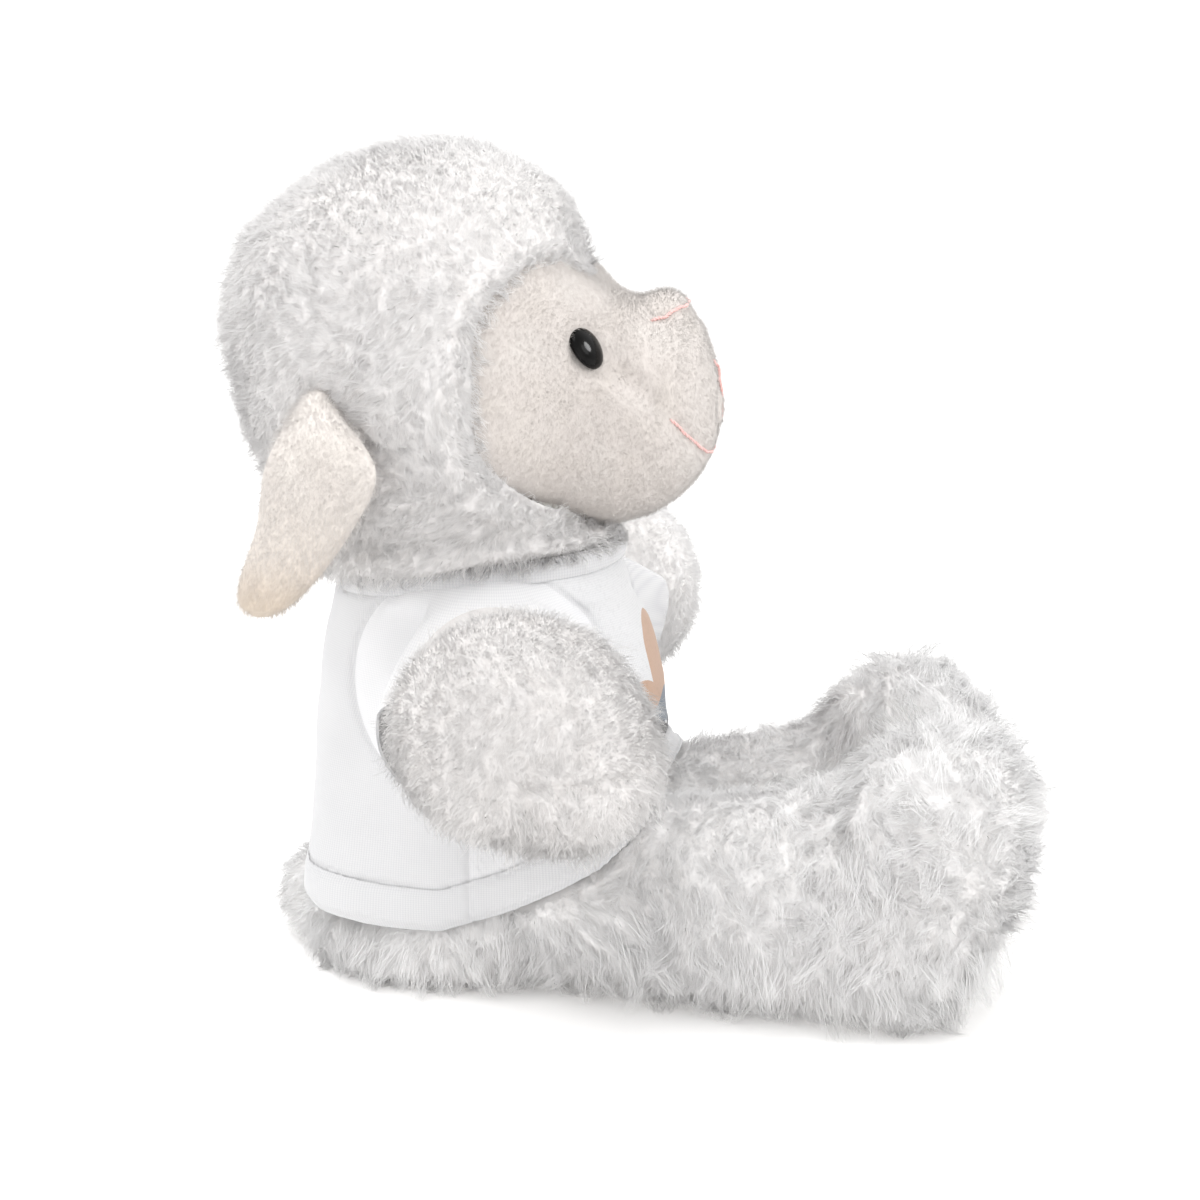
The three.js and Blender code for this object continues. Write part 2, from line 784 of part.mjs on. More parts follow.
// embroidered nose and mouth: heavy thread lying on the pile
function stitch(name, rays, steps) {
  const points = rays.map(([from, dir]) => {
    const h = hit(from, dir.clone().normalize());
    return h.point.addScaledVector(h.normal, THREAD_R + 0.5);
  });
  const curve = new THREE.CatmullRomCurve3(points, false, "centripetal");
  const section = new THREE.Shape(
    oval(6, THREAD_R, THREAD_R, 2).map(([u, w]) => new THREE.Vector2(u, w)),
  );
  const g = new THREE.ExtrudeGeometry(section, {
    steps,
    extrudePath: curve,
    bevelEnabled: false,
  });
  const made = cut(solid(g), headSolid(0.2));
  piece(headGroup, name, made, PINK);
  return made;
}
const fromFront = (x, z) => [V(x, 90, z), V(0, -1, 0)];
const fromTop = (x, f) => [V(x, f, 230), V(0, 0, -1)];
for (const [side, k] of [
  ["left", 1],
  ["right", -1],
]) {
  stitch(
    side + "_nose_stitch",
    [
      fromTop(k * 15.5, 6.5),
      fromTop(k * 12.5, 9.5),
      fromTop(k * 8.5, 12),
      fromTop(k * 4.5, 13.4),
      fromTop(k * 1.5, 13.8),
    ],
    8,
  );
  stitch(
    side + "_mouth_stitch",
    [
      fromFront(k * 1.6, 127),
      fromFront(k * 7, 127.6),
      fromFront(k * 13, 129.8),
      fromFront(k * 18.5, 133.4),
      fromFront(k * 22.3, 137.6),
    ],
    9,
  );
}
stitch(
  "philtrum_stitch",
  [fromFront(0, 149), fromFront(0, 145), fromFront(0, 140), fromFront(0, 135), fromFront(0, 130.5)],
  6,
);

// --------------------------------------------------------------------- ears
// two leaves of short plush, sewn round the edge and cupped along the length
function earLayer(side, from, to) {
  const rings = EAR.map(([x, f, z, w], i) => {
    const a = EAR[Math.max(i - 1, 0)],
      b = EAR[Math.min(i + 1, EAR.length - 1)];
    const along = V(b[0] - a[0], b[1] - a[1], b[2] - a[2]).normalize();
    const outward = V(-1, 0.18, 0.1);
    outward.addScaledVector(along, -outward.dot(along)).normalize();
    const across = V(0, 1, 0);
    across.addScaledVector(outward, -across.dot(outward)).normalize();
    const p = V(x, f, z);
    const n = 4;
    const top = [],
      low = [];
    for (let j = 0; j <= n; j++) {
      const u = (j / n - 0.5) * w,
        cup = -2.2 * (2 * (j / n - 0.5)) ** 2 * (w / 21);
      const thin = 1 - 0.55 * Math.abs(2 * (j / n - 0.5)) ** 3;
      const at = (d) =>
        p.clone().addScaledVector(across, u).addScaledVector(outward, d + cup);
      top.push(at(from + (to - from) * (from >= 0 ? thin : 1)));
      low.push(at(from + (to - from) * (from >= 0 ? 0 : 1 - thin)));
    }
    return [...top, ...low.reverse()];
  });
  const made = solid(loft(rings));
  return side === "right" ? made : mirrorX(made);
}
for (const side of ["left", "right"]) {
  const g = group(side + "_ear");
  piece(g, side + "_ear_outer", earLayer(side, 0.17, 0.17 + EAR_LAYER), IVORY);
  piece(g, side + "_ear_inner", earLayer(side, -0.17 - EAR_LAYER, -0.17), IVORY);
}

// --------------------------------------------------------------------- arms
const armShape = (by) => alongArm(grown(ARM.profile, by), 12);
// the seam runs round the paw in the plane of the arm's axis and the forward direction
const armFlat = (lift) => {
  const g = new THREE.BoxGeometry(240, 240, 120);
  g.translate(0, 0, 60 + lift);
  g.applyMatrix4(armFrame);
  return solid(g);
};
const armShell = cut(armShape(0), armShape(-SKIN), armBehind(ARM.cut));
const armTop = armShell.intersect(armFlat(SEAM / 2));
const armUnder = cut(armShell, armFlat(-SEAM / 2));
const armFill = cut(armShape(-SKIN - GAP), armBehind(ARM.cut + 0.3));
const sleeveMade = cut(
  alongArm(grown(ARM.profile, SLEEVE.gap + SLEEVE.thick), 12),
  alongArm(grown(ARM.profile, SLEEVE.gap), 12),
  armBehind(SLEEVE.low),
  (() => {
    const g = new THREE.BoxGeometry(200, 200, 200);
    g.translate(0, 100 + SLEEVE.high, 0);
    g.applyMatrix4(armFrame);
    return solid(g);
  })(),
);
for (const side of ["left", "right"]) {
  const g = group(side + "_arm");
  const m = (made) =>
    side === "left" ? turned(made, FORWARD, ARM.farRaise, armAt) : mirrorX(made);
  piece(g, side + "_arm_top_panel", m(armTop), WOOL);
  piece(g, side + "_arm_under_panel", m(armUnder), WOOL);
  piece(g, side + "_arm_filling", m(armFill), FIBRE);
  piece(g, side + "_sleeve", m(sleeveMade), TEE);
}

// --------------------------------------------------------------------- legs
const legBehind = (s) => {
  const g = new THREE.BoxGeometry(200, 200, 200);
  g.translate(0, 100 - s, 0);
  const angle = Math.atan2(legDir.x, -legDir.y);
  g.rotateZ(angle);
  const p = onLeg(0, 0, LEG.z);
  g.translate(p.x, p.y, p.z);
  return solid(g);
};
const legSideBlock = (from, to) => {
  const g = new THREE.BoxGeometry(to - from, 400, 300);
  g.translate((from + to) / 2, 0, 50);
  const angle = Math.atan2(legDir.x, -legDir.y);
  g.rotateZ(angle);
  const p = onLeg(0, 0, 0);
  g.translate(p.x, p.y, 0);
  return solid(g);
};
for (const [side, foot] of [
  ["left", LEFT_FOOT],
  ["right", FOOT],
]) {
  const skin = cut(
    legSolid(0, foot),
    legBehind(LEG.cut),
    below(0),
    cut(legSolid(-SKIN, foot), below(SKIN)),
  );
  const g = group(side + "_leg");
  const m = (made) => (side === "left" ? made : mirrorX(made));
  piece(g, side + "_leg_outer_panel", m(skin.intersect(legSideBlock(SEAM / 2, 100))), WOOL);
  piece(g, side + "_leg_inner_panel", m(skin.intersect(legSideBlock(-100, -SEAM / 2))), WOOL);
  piece(
    g,
    side + "_leg_filling",
    m(cut(legSolid(-SKIN - GAP, foot), legBehind(LEG.cut + 0.3), below(SKIN + GAP))),
    FIBRE,
  );
}

// --------------------------------------------------------------------- tail
const tailGroup = group("tail");
const tailShell = cut(tailSolid(0), tailSolid(-1.6), block(-50, 50, TAIL.f + 4, 100, -50, 100));
piece(tailGroup, "tail_upper_panel", tailShell.intersect(above(14.4 + SEAM / 2)), WOOL);
piece(tailGroup, "tail_under_panel", tailShell.intersect(below(14.4 - SEAM / 2)), WOOL);
piece(
  tailGroup,
  "tail_filling",
  cut(tailSolid(-1.6 - GAP), block(-50, 50, TAIL.f + 3.7, 100, -50, 100)),
  FIBRE,
);

export default lamb;
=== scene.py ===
import math

import bpy
import numpy as np
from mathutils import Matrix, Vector
from mathutils.kdtree import KDTree


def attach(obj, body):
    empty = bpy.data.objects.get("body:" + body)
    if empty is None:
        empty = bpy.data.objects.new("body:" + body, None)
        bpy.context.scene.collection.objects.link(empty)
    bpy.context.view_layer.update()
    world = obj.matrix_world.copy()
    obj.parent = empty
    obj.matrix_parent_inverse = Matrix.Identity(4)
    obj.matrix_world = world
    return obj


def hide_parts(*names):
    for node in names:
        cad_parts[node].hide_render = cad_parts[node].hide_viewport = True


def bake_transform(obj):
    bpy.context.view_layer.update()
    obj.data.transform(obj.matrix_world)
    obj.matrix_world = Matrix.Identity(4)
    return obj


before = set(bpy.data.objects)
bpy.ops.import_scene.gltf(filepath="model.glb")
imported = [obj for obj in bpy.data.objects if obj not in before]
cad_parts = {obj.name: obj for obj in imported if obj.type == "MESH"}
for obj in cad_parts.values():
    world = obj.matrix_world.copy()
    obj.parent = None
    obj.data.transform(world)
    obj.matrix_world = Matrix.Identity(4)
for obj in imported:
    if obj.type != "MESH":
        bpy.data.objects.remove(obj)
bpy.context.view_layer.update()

# All shapes below are worked out in millimetres as (x, f, z): x to the lamb's left,
# f forward (the row frame's -Y), z up. They become row-frame metres when a mesh is made.

# ------------------------------------------------------------------ dimensions
BALL = dict(c=(0, -47, 149), r=(46.5, 49.5, 49.5))
NECK = dict(c=(0, -38, 119.5), r=33.0)
FACE = dict(z=146, arc=60.0, hz=32.4, power=3.0)
CROWN_HALF = 15.0
MUZZLE = np.array([
    [-22, 27, 112, 160], [-12, 28, 110.5, 162.4], [-2, 27.5, 110, 163.4], [6, 26, 112.2, 163.8],
    [12, 23, 116, 162.0], [17, 17.5, 121.6, 157], [20.5, 10, 128, 147.6], [22, 3.5, 133.6, 141.4],
], float)
LIP = np.array([(116, 60), (126, 21.6), (129.2, 19), (135.2, 14.6), (139.5, 11), (143.2, 8), (146.5, 4.4), (149, 1),
                (153, -1), (157, -1.3), (162.4, -2.5), (168, -4.3), (200, -6)], float)
EYE = dict(x=24.8, f=-8.4, z=154.4, r=5.7, dome=2.7)
EYE_AXIS = np.array([0.25, 0.80, 0.55]) / np.linalg.norm([0.25, 0.80, 0.55])
BROW = dict(depth=8.8, wide=18.0, z=173.0, up=10.0, down=6.5)
NOSE = dict(c=(0, 8.7, 160.2), r=(11, 5.4, 5.0))
EAR = np.array([
    [-45.2, -67.2, 144.0, 10.0], [-50.0, -66.6, 140.6, 14.6], [-54.2, -65.4, 135.8, 20.2], [-56.4, -64.6, 130.4, 25],
    [-55.6, -65.8, 124.0, 25.2], [-53.8, -68.6, 116.5, 22.4], [-52.4, -72.4, 109.2, 20.2], [-51.6, -76.4, 102.4, 17.2],
    [-51.2, -79.2, 97.4, 12.4], [-51.2, -80.2, 94.8, 4.6],
], float)
EAR_OUT = np.array([-1, 0.18, 0.1]) / np.linalg.norm([-1, 0.18, 0.1])
TORSO = np.array([
    [0, -42, 28, 31], [5, -40, 35.5, 36], [15, -36.8, 39.4, 38.6], [30, -34.8, 40.6, 39.6], [50, -34, 40.6, 39.6],
    [70, -34.6, 38.6, 37.5], [84, -35.6, 35.8, 34.8], [94, -36.8, 32.4, 32], [100, -37.6, 28.5, 28.5], [112, -38, 22, 22],
], float)
HEM = np.array([(-110, 19.5), (-80, 19), (-68.5, 18), (-55, 16.8), (-41, 16.5), (-26, 21.5), (-12, 28.3),
                (-2.6, 33.7), (6.2, 41.5), (11, 47), (20, 52), (60, 56)], float)
HEM_HEIGHT = 10.5
ARM = dict(x=38.0, f=-29.0, z=78.3, d=(0.925, 0.332, -0.19), wide=1.05, flat=0.95, raise_far=14.0)
SLEEVE_END = 20.0
COLLAR_TOP = np.array([(-72, 98.0), (-50, 101.0), (-37, 103.6), (-15, 105.0), (5, 105.5)], float)
ARMHOLE = dict(f=-33.5, z=76.0, rf=29.8, rz=27.2)
LEG = dict(x=20.3, f=-12.0, z=22.3, r=19.4, splay=0.205)
LEG_TUBE = np.array([[0, 19.4, 19.4, 22.3], [14, 20, 21, 22.3], [34, 20.6, 23, 22.7], [56, 21, 24.6, 24.2],
                     [74, 20, 25, 24.7], [86, 15, 20, 27]], float)
FOOT = dict(s=87.8, z=32.3, r=(21.5, 20.3, 32.4), lean=0.16, toe=3.2)
LEFT_FOOT = dict(s=86.5, lean=-0.22, toe=5.4)
TAIL = dict(root=(-73.5, 15.2, 8.0), tip=(-76.2, 11.6, 9.0))
FLOOR = 0.35

rng = np.random.default_rng(11)


# ---------------------------------------------------------------- small helpers
def norm(v):
    return v / np.maximum(np.linalg.norm(v, axis=-1, keepdims=True), 1e-9)


def step(a, b, t):
    t = np.clip((t - a) / (b - a), 0, 1)
    return t * t * (3 - 2 * t)


def smin(a, b, k):
    h = np.clip(0.5 + 0.5 * (b - a) / k, 0, 1)
    return b * (1 - h) + a * h - k * h * (1 - h)


def smax(a, b, k):
    return -smin(-a, -b, k)


def ellipsoid(p, c, r):
    q = p - np.asarray(c, float)
    r = np.asarray(r, float)
    k0 = np.linalg.norm(q / r, axis=-1)
    k1 = np.linalg.norm(q / (r * r), axis=-1)
    return k0 * (k0 - 1) / np.maximum(k1, 1e-6)


def ripples(seed, count, low, high):
    """A smooth wandering field in space, about -1 to 1, with waves from low to high mm long."""
    g = np.random.default_rng(seed)
    k = norm(g.normal(size=(count, 3))) * (2 * math.pi / g.uniform(low, high, (count, 1)))
    ph = g.uniform(0, 2 * math.pi, count)
    return lambda p: np.sin(p @ k.T + ph).sum(1) / math.sqrt(count)


def line_distance(a, b, pts):
    """Distance from the points (a, b) to an open line of points in the plane."""
    best = np.full(a.shape, 1e9)
    for (a0, b0), (a1, b1) in zip(pts[:-1], pts[1:]):
        da, db = a1 - a0, b1 - b0
        t = np.clip(((a - a0) * da + (b - b0) * db) / (da * da + db * db), 0, 1)
        best = np.minimum(best, np.hypot(a - a0 - t * da, b - b0 - t * db))
    return best


def gradient(fn, p, e=0.4):
    g = np.empty_like(p)
    for i in range(3):
        d = np.zeros(3)
        d[i] = e
        g[:, i] = fn(p + d) - fn(p - d)
    return norm(g)


# ------------------------------------------------------------- shapes as fields
# each field is about the distance to the surface, negative inside
def brow_hollow(p):
    """How far the forehead is drawn in, between the wool's front edge and the muzzle."""
    x, f, z = p.T
    rise = z - BROW["z"]
    high = np.exp(-((rise / np.where(rise > 0, BROW["up"], BROW["down"])) ** 2))
    return BROW["depth"] * np.exp(-((x / BROW["wide"]) ** 2)) * high * np.clip((f + 35) / 20, 0, 1)


def wool_field(p):
    d = ellipsoid(p, BALL["c"], BALL["r"]) + brow_hollow(p)
    d = smin(d, np.linalg.norm(p - np.array(NECK["c"], float), axis=1) - NECK["r"], 9)
    # the nape rolls down into the shirt's neck, which is lower at the back
    d = smin(d, ellipsoid(p, (0, -47, 108), (29, 22.5, 13)), 6)
    rim = np.stack([p[:, 0], p[:, 1], p[:, 2] - collar_top(p[:, 1])], 1)
    d = smin(d, ellipsoid(rim, (0, -38, 2.8), (35.8, 35.6, 6.6)), 5)
    # the back is flatter below its middle
    d = d + 2.1 * (1 - step(-94, -72, p[:, 1])) * (1 - step(138, 170, p[:, 2])) * step(106, 118, p[:, 2])
    # it dips under the edge of the face
    return d + 1.5 * (1 - step(-1, 4, face_outline(p)))


_mq = np.sqrt(22.9 - MUZZLE[::-1, 0])


def muzzle_field(p):
    x, f, z = p.T
    q = np.sqrt(np.clip(22.9 - f, 0, 45))
    hw = np.interp(q, _mq, MUZZLE[::-1, 1])
    lo = np.interp(q, _mq, MUZZLE[::-1, 2])
    hi = np.interp(q, _mq, MUZZLE[::-1, 3])
    hh, zc = (hi - lo) / 2, (hi + lo) / 2
    n = 2.35
    g = ((np.abs(x) / hw) ** n + (np.abs(z - zc) / hh) ** n) ** (1 / n)
    d = (g - 1) * np.minimum(hw, hh)
    return np.maximum(d, f - 22.4)


def face_field(p):
    x, f, z = p.T
    d = smin(ellipsoid(p, BALL["c"], np.array(BALL["r"]) - 0.9) + brow_hollow(p), muzzle_field(p), 5.0)
    d = smin(d, ellipsoid(p, NOSE["c"], NOSE["r"]), 2.5)
    # the muzzle's seam: a soft fold past the eye to the mouth, with the cheek full behind it
    seam = line_distance(f, z, [(fz, zz) for zz, fz in LIP[1:-1]])
    low = 1 - step(146, 156, z)
    d = d + (0.3 + 0.8 * low) * np.exp(-((seam / 2.4) ** 2)) * step(2, 9, np.abs(x))
    d = d - 1.0 * low * np.exp(-(((seam - 5.5) / 4.0) ** 2)) * step(0, 3, -lip_side(p)) * step(120, 134, z) * step(10, 18, np.abs(x))
    # the line down the lip
    d = d + 0.7 * np.exp(-((x / 1.6) ** 2)) * step(8, 14, f) * step(126, 131, z) * (1 - step(146, 152, z))
    # the pull of the eyes' shanks, and the hollow in front of each eye
    for side in (-1, 1):
        e = np.array([side * EYE["x"], EYE["f"], EYE["z"]])
        d = d + 1.5 * np.exp(-((np.linalg.norm(p - e, axis=1) / 6.4) ** 2))
        e = np.array([side * 24.0, -0.5, 150.5])
        d = d + 0.9 * np.exp(-((np.linalg.norm(p - e, axis=1) / 5.0) ** 2))
    # small soft unevenness of the filling
    return d + 0.2 * _face_bumps(p)


_face_bumps = ripples(3, 9, 16, 34)


def face_outline(p):
    """Negative on the face, positive on the wool; in about mm, and the same at every depth under the skin."""
    c, r = np.array(BALL["c"], float), np.array(BALL["r"], float)
    x, f, z = (c + norm((p - c) / r) * r).T
    n = FACE["power"]
    hz = np.where(z > FACE["z"], FACE["hz"], FACE["hz"] - 1.6)
    round_ = 48 * np.arctan2(np.abs(x), f - c[1])
    g = ((round_ / FACE["arc"]) ** n + (np.abs(z - FACE["z"]) / hz) ** n) ** (1 / n)
    # the wool comes lower on the middle of the forehead
    brow = 7.0 * np.exp(-((x / 15.0) ** 2)) * step(150, 165, z)
    return np.minimum((g - 1) * 42 + brow, np.maximum(muzzle_field(p) - 3.0, -26 - p[:, 1]))


def lip_side(p):
    """Positive on the muzzle panel's side of its seam."""
    return p[:, 1] - np.interp(p[:, 2], LIP[:, 0], LIP[:, 1])


def torso_field(p, square=0.0):
    x, f, z = p.T
    c = np.interp(z, TORSO[:, 0], TORSO[:, 1])
    a = np.interp(z, TORSO[:, 0], TORSO[:, 2])
    b = np.interp(z, TORSO[:, 0], TORSO[:, 3])
    n = 2.2 + square * np.clip((60 - z) / 30, 0, 1)
    g = ((np.abs(x) / b) ** n + (np.abs(f - c) / a) ** n) ** (1 / n)
    d = (g - 1) * np.minimum(a, b)
    return np.maximum(d, FLOOR + 0.2 - z)


def arm_frame(side):
    """Shoulder point and the arm's axes: along, fore-aft and up. side is +1 for the lamb's left."""
    d = norm(np.array(ARM["d"], float) * np.array([side, 1, 1]))
    u = norm(np.cross(d, [0, 0, 1.0]))
    if u[1] < 0:
        u = -u
    w = norm(np.cross(u, d))
    if w[2] < 0:
        w = -w
    o = np.array([side * ARM["x"], ARM["f"], ARM["z"]], float)
    if side > 0:
        t = math.radians(ARM["raise_far"])
        turn = np.array([[math.cos(t), 0, -math.sin(t)], [0, 1, 0], [math.sin(t), 0, math.cos(t)]])
        d, u, w = turn @ d, turn @ u, turn @ w
    return o, d, u, w


def arm_local(p, side):
    o, d, u, w = arm_frame(side)
    q = p - o
    return np.stack([q @ d, q @ u, q @ w], 1)


ARM_PROFILE = np.array([[-17, 0], [-12.6, 11.4], [-6, 15.8], [0, 17], [8, 19.2], [18, 23], [28, 24.4], [37, 23],
                        [46, 18], [52, 10], [54.5, 0]], float)


def paw_seam(p):
    """1 along the front half of the paw, where its seam shows."""
    return step(-20, -12, p[:, 1]) * (1 - step(8, 14, p[:, 1]))


def arm_field(p, side):
    q = arm_local(p, side)
    q = q / np.array([1, ARM["wide"], ARM["flat"]])
    main = ellipsoid(q, (27.5, 0, 0), (27.2, 24.4, 24.4))
    root = ellipsoid(q, (0, 0, 0), (17, 17, 17))
    d = smin(main, root, 14)
    # the paw is fuller towards the front, and most of all low down on the near side
    full = 7.5 * (1 - 0.85 * step(60, 88, p[:, 2])) if side < 0 else 3.5
    d = d - full * step(-24, 8, p[:, 1]) * step(18, 34, q[:, 0])
    # the seam that runs round the paw
    return d + 0.8 * np.exp(-((q[:, 2] / 1.7) ** 2)) * step(30, 46, q[:, 0]) * paw_seam(p)


def leg_local(p, side):
    d = norm(np.array([side * LEG["splay"], 0.979, 0]))
    u = np.array([side * d[1], -side * d[0] * 1.0, 0])
    u = norm(np.array([d[1] * side, -d[0] * side, 0]))
    o = np.array([side * LEG["x"], LEG["f"], 0.0])
    q = p - o
    return np.stack([q @ d, q @ u, q[:, 2]], 1)


def leg_field(p, side):
    s, u, z = leg_local(p, side).T
    a = np.interp(s, LEG_TUBE[:, 0], LEG_TUBE[:, 1])
    b = np.interp(s, LEG_TUBE[:, 0], LEG_TUBE[:, 2])
    c = np.interp(s, LEG_TUBE[:, 0], LEG_TUBE[:, 3])
    g = np.sqrt((u / a) ** 2 + ((z - c) / b) ** 2)
    tube = smax((g - 1) * np.minimum(a, b), np.maximum(-s, s - 88), 6)
    hip = np.sqrt(s * s + u * u + (z - LEG["z"]) ** 2) - LEG["r"]
    at = FOOT if side < 0 else LEFT_FOOT
    rise = z - FOOT["z"]
    q = np.abs(np.stack([u, s - at["s"] - at["lean"] * rise, rise], 1)) / np.array(FOOT["r"])
    n = 2 + 0.8 * step(0, 8, rise)
    foot = ((q ** n[:, None]).sum(1) ** (1 / n) - 1) * 20
    d = smin(smin(tube, hip, 4), foot, 11)
    d = smax(d, (s - at["s"] - at["toe"]) * 0.85 - z * 0.53, 6)
    # instep crease where the foot turns up
    d = d + 1.4 * np.exp(-(((s - 71) / 4.0) ** 2)) * step(38, 50, z)
    return smax(d, FLOOR + 0.2 - z, 3)


def tail_field(p):
    (f0, z0, r0), (f1, z1, r1) = TAIL["root"], TAIL["tip"]
    a = np.linalg.norm(p - np.array([0, f0, z0]), axis=1) - r0
    b = np.linalg.norm(p - np.array([0, f1, z1]), axis=1) - r1
    return smax(smin(a, b, 5), FLOOR + 0.2 - p[:, 2], 2)


def collar_top(f):
    return np.interp(f, COLLAR_TOP[:, 0], COLLAR_TOP[:, 1])


def hem_height(f):
    return np.interp(f, HEM[:, 0], HEM[:, 1])


_drape = ripples(21, 8, 26, 60)
_drape2 = ripples(22, 10, 12, 22)


def tee_field(p):
    x, f, z = p.T
    ang = np.arctan2(f + 34.5, np.abs(x))
    low = 1 - step(14, 52, z)
    off = 2.9 + 1.7 * low + 2.6 * step(90, 99, z) * step(-64, -46, f)
    body = torso_field(p, 0.9) - off
    # the shirt sits out over the tops of the thighs
    for side in (-1, 1):
        body = smin(body, leg_field(p, side) - 2.6, 8)
        s = arm_local(p, side)[:, 0]
        arm = arm_field(p, side) - 3.2 - 1.8 * step(2, 19, s)
        arm = np.maximum(arm, -6 - s)
        body = smin(body, arm, 8)
    # slack: broad drape, finer creases, and creases that run out of the back of the armhole
    d = body - 0.95 * _drape(p) * (1 - 0.7 * step(88, 96, z)) - 0.26 * _drape2(p) * step(20, 45, z)
    back = step(0.15, 0.75, -ang) * step(40, 60, z) * (1 - step(88, 98, z))
    d = d - 0.75 * np.sin((f * 0.86 - np.abs(x) * 0.25 + z * 0.22) / 3.3) * back * 0.7
    # it is drawn in to its collar
    rim = np.hypot(x, f + 37) - 36.2 - 1.6 * np.maximum(0, collar_top(f) - 3.4 - z)
    d = smax(d, rim, 3)
    # seams: armhole and side
    hole = np.hypot((f - ARMHOLE["f"]) / ARMHOLE["rf"], (z - ARMHOLE["z"]) / ARMHOLE["rz"])
    d = d + 1.1 * np.exp(-(((hole - 1) * 27 / 1.1) ** 2)) * step(15, 22, np.abs(x))
    d = d + 0.55 * np.exp(-(((f + 33.5) / 0.9) ** 2)) * step(10, 20, np.abs(x)) * (1 - step(50, 56, z))
    # a nip where the hem band is sewn on
    nip = z - hem_height(f) - HEM_HEIGHT
    d = d + 0.8 * np.exp(-((nip / 1.1) ** 2))
    # the band rolls in at its lower edge
    return d + 1.5 * (1 - step(0, 2.6, z - hem_height(f)))


# --------------------------------------------------------------- surface meshes
def surface(fn, low, high, h, relax=2):
    """The field's zero surface as points, outward normals and triangles."""
    low = np.asarray(low, float)
    n = np.ceil((np.asarray(high, float) - low) / h).astype(int) + 1
    ax = [low[i] + h * np.arange(n[i]) for i in range(3)]
    grid = np.stack(np.meshgrid(*ax, indexing="ij"), -1).reshape(-1, 3)
    D = fn(grid).reshape(n)
    S = D < 0
    corner = [(i, j, k) for i in (0, 1) for j in (0, 1) for k in (0, 1)]
    cut = tuple(slice(0, m - 1) for m in n)
    count = sum(S[i:n[0] - 1 + i, j:n[1] - 1 + j, k:n[2] - 1 + k].astype(int) for i, j, k in corner)
    mask = (count > 0) & (count < 8)
    cells = np.argwhere(mask)
    index = -np.ones(mask.shape, int)
    index[mask] = np.arange(len(cells))
    acc, cnt = np.zeros((len(cells), 3)), np.zeros(len(cells))
    for a in corner:
        for axis in range(3):
            if a[axis]:
                continue
            b = list(a)
            b[axis] = 1
            da = D[tuple((cells + a).T)]
            db = D[tuple((cells + b).T)]
            hit = (da < 0) != (db < 0)
            t = np.where(hit, da / np.where(hit, da - db, 1), 0)
            p = np.array(a, float) + t[:, None] * (np.array(b, float) - np.array(a, float))
            acc += p * hit[:, None]
            cnt += hit
    P = low + h * (cells + acc / cnt[:, None])
    quads = []
    for axis in range(3):
        o1, o2 = [i for i in range(3) if i != axis]
        a = [slice(None)] * 3
        b = [slice(None)] * 3
        a[axis], b[axis] = slice(0, n[axis] - 1), slice(1, n[axis])
        hit = S[tuple(a)] != S[tuple(b)]
        at = np.argwhere(hit)
        at = at[(at[:, o1] > 0) & (at[:, o2] > 0) & (at[:, o1] < n[o1] - 1) & (at[:, o2] < n[o2] - 1)]
        ids = []
        for d1, d2 in ((-1, -1), (0, -1), (0, 0), (-1, 0)):
            c = at.copy()
            c[:, o1] += d1
            c[:, o2] += d2
            ids.append(index[tuple(c.T)])
        quads.append(np.stack(ids, 1))
    Q = np.concatenate(quads)
    for _ in range(relax):
        e = np.concatenate([Q[:, [0, 1]], Q[:, [1, 2]], Q[:, [2, 3]], Q[:, [3, 0]]])
        tot, num = np.zeros_like(P), np.zeros(len(P))
        for i, j in ((0, 1), (1, 0)):
            np.add.at(tot, e[:, i], P[e[:, j]])
            np.add.at(num, e[:, i], 1)
        P = 0.5 * P + 0.5 * tot / np.maximum(num, 1)[:, None]
        g = gradient(fn, P)
        P = P - g * np.clip(fn(P), -h, h)[:, None] * 0.8
    N = gradient(fn, P)
    c = P[Q].mean(1)
    face = np.cross(P[Q[:, 2]] - P[Q[:, 0]], P[Q[:, 3]] - P[Q[:, 1]])
    wrong = (face * N[Q[:, 0]]).sum(1) < 0
    Q[wrong] = Q[wrong][:, ::-1]
    T = np.concatenate([Q[:, [0, 1, 2]], Q[:, [0, 2, 3]]])
    return np.concatenate([P, N], 1), T


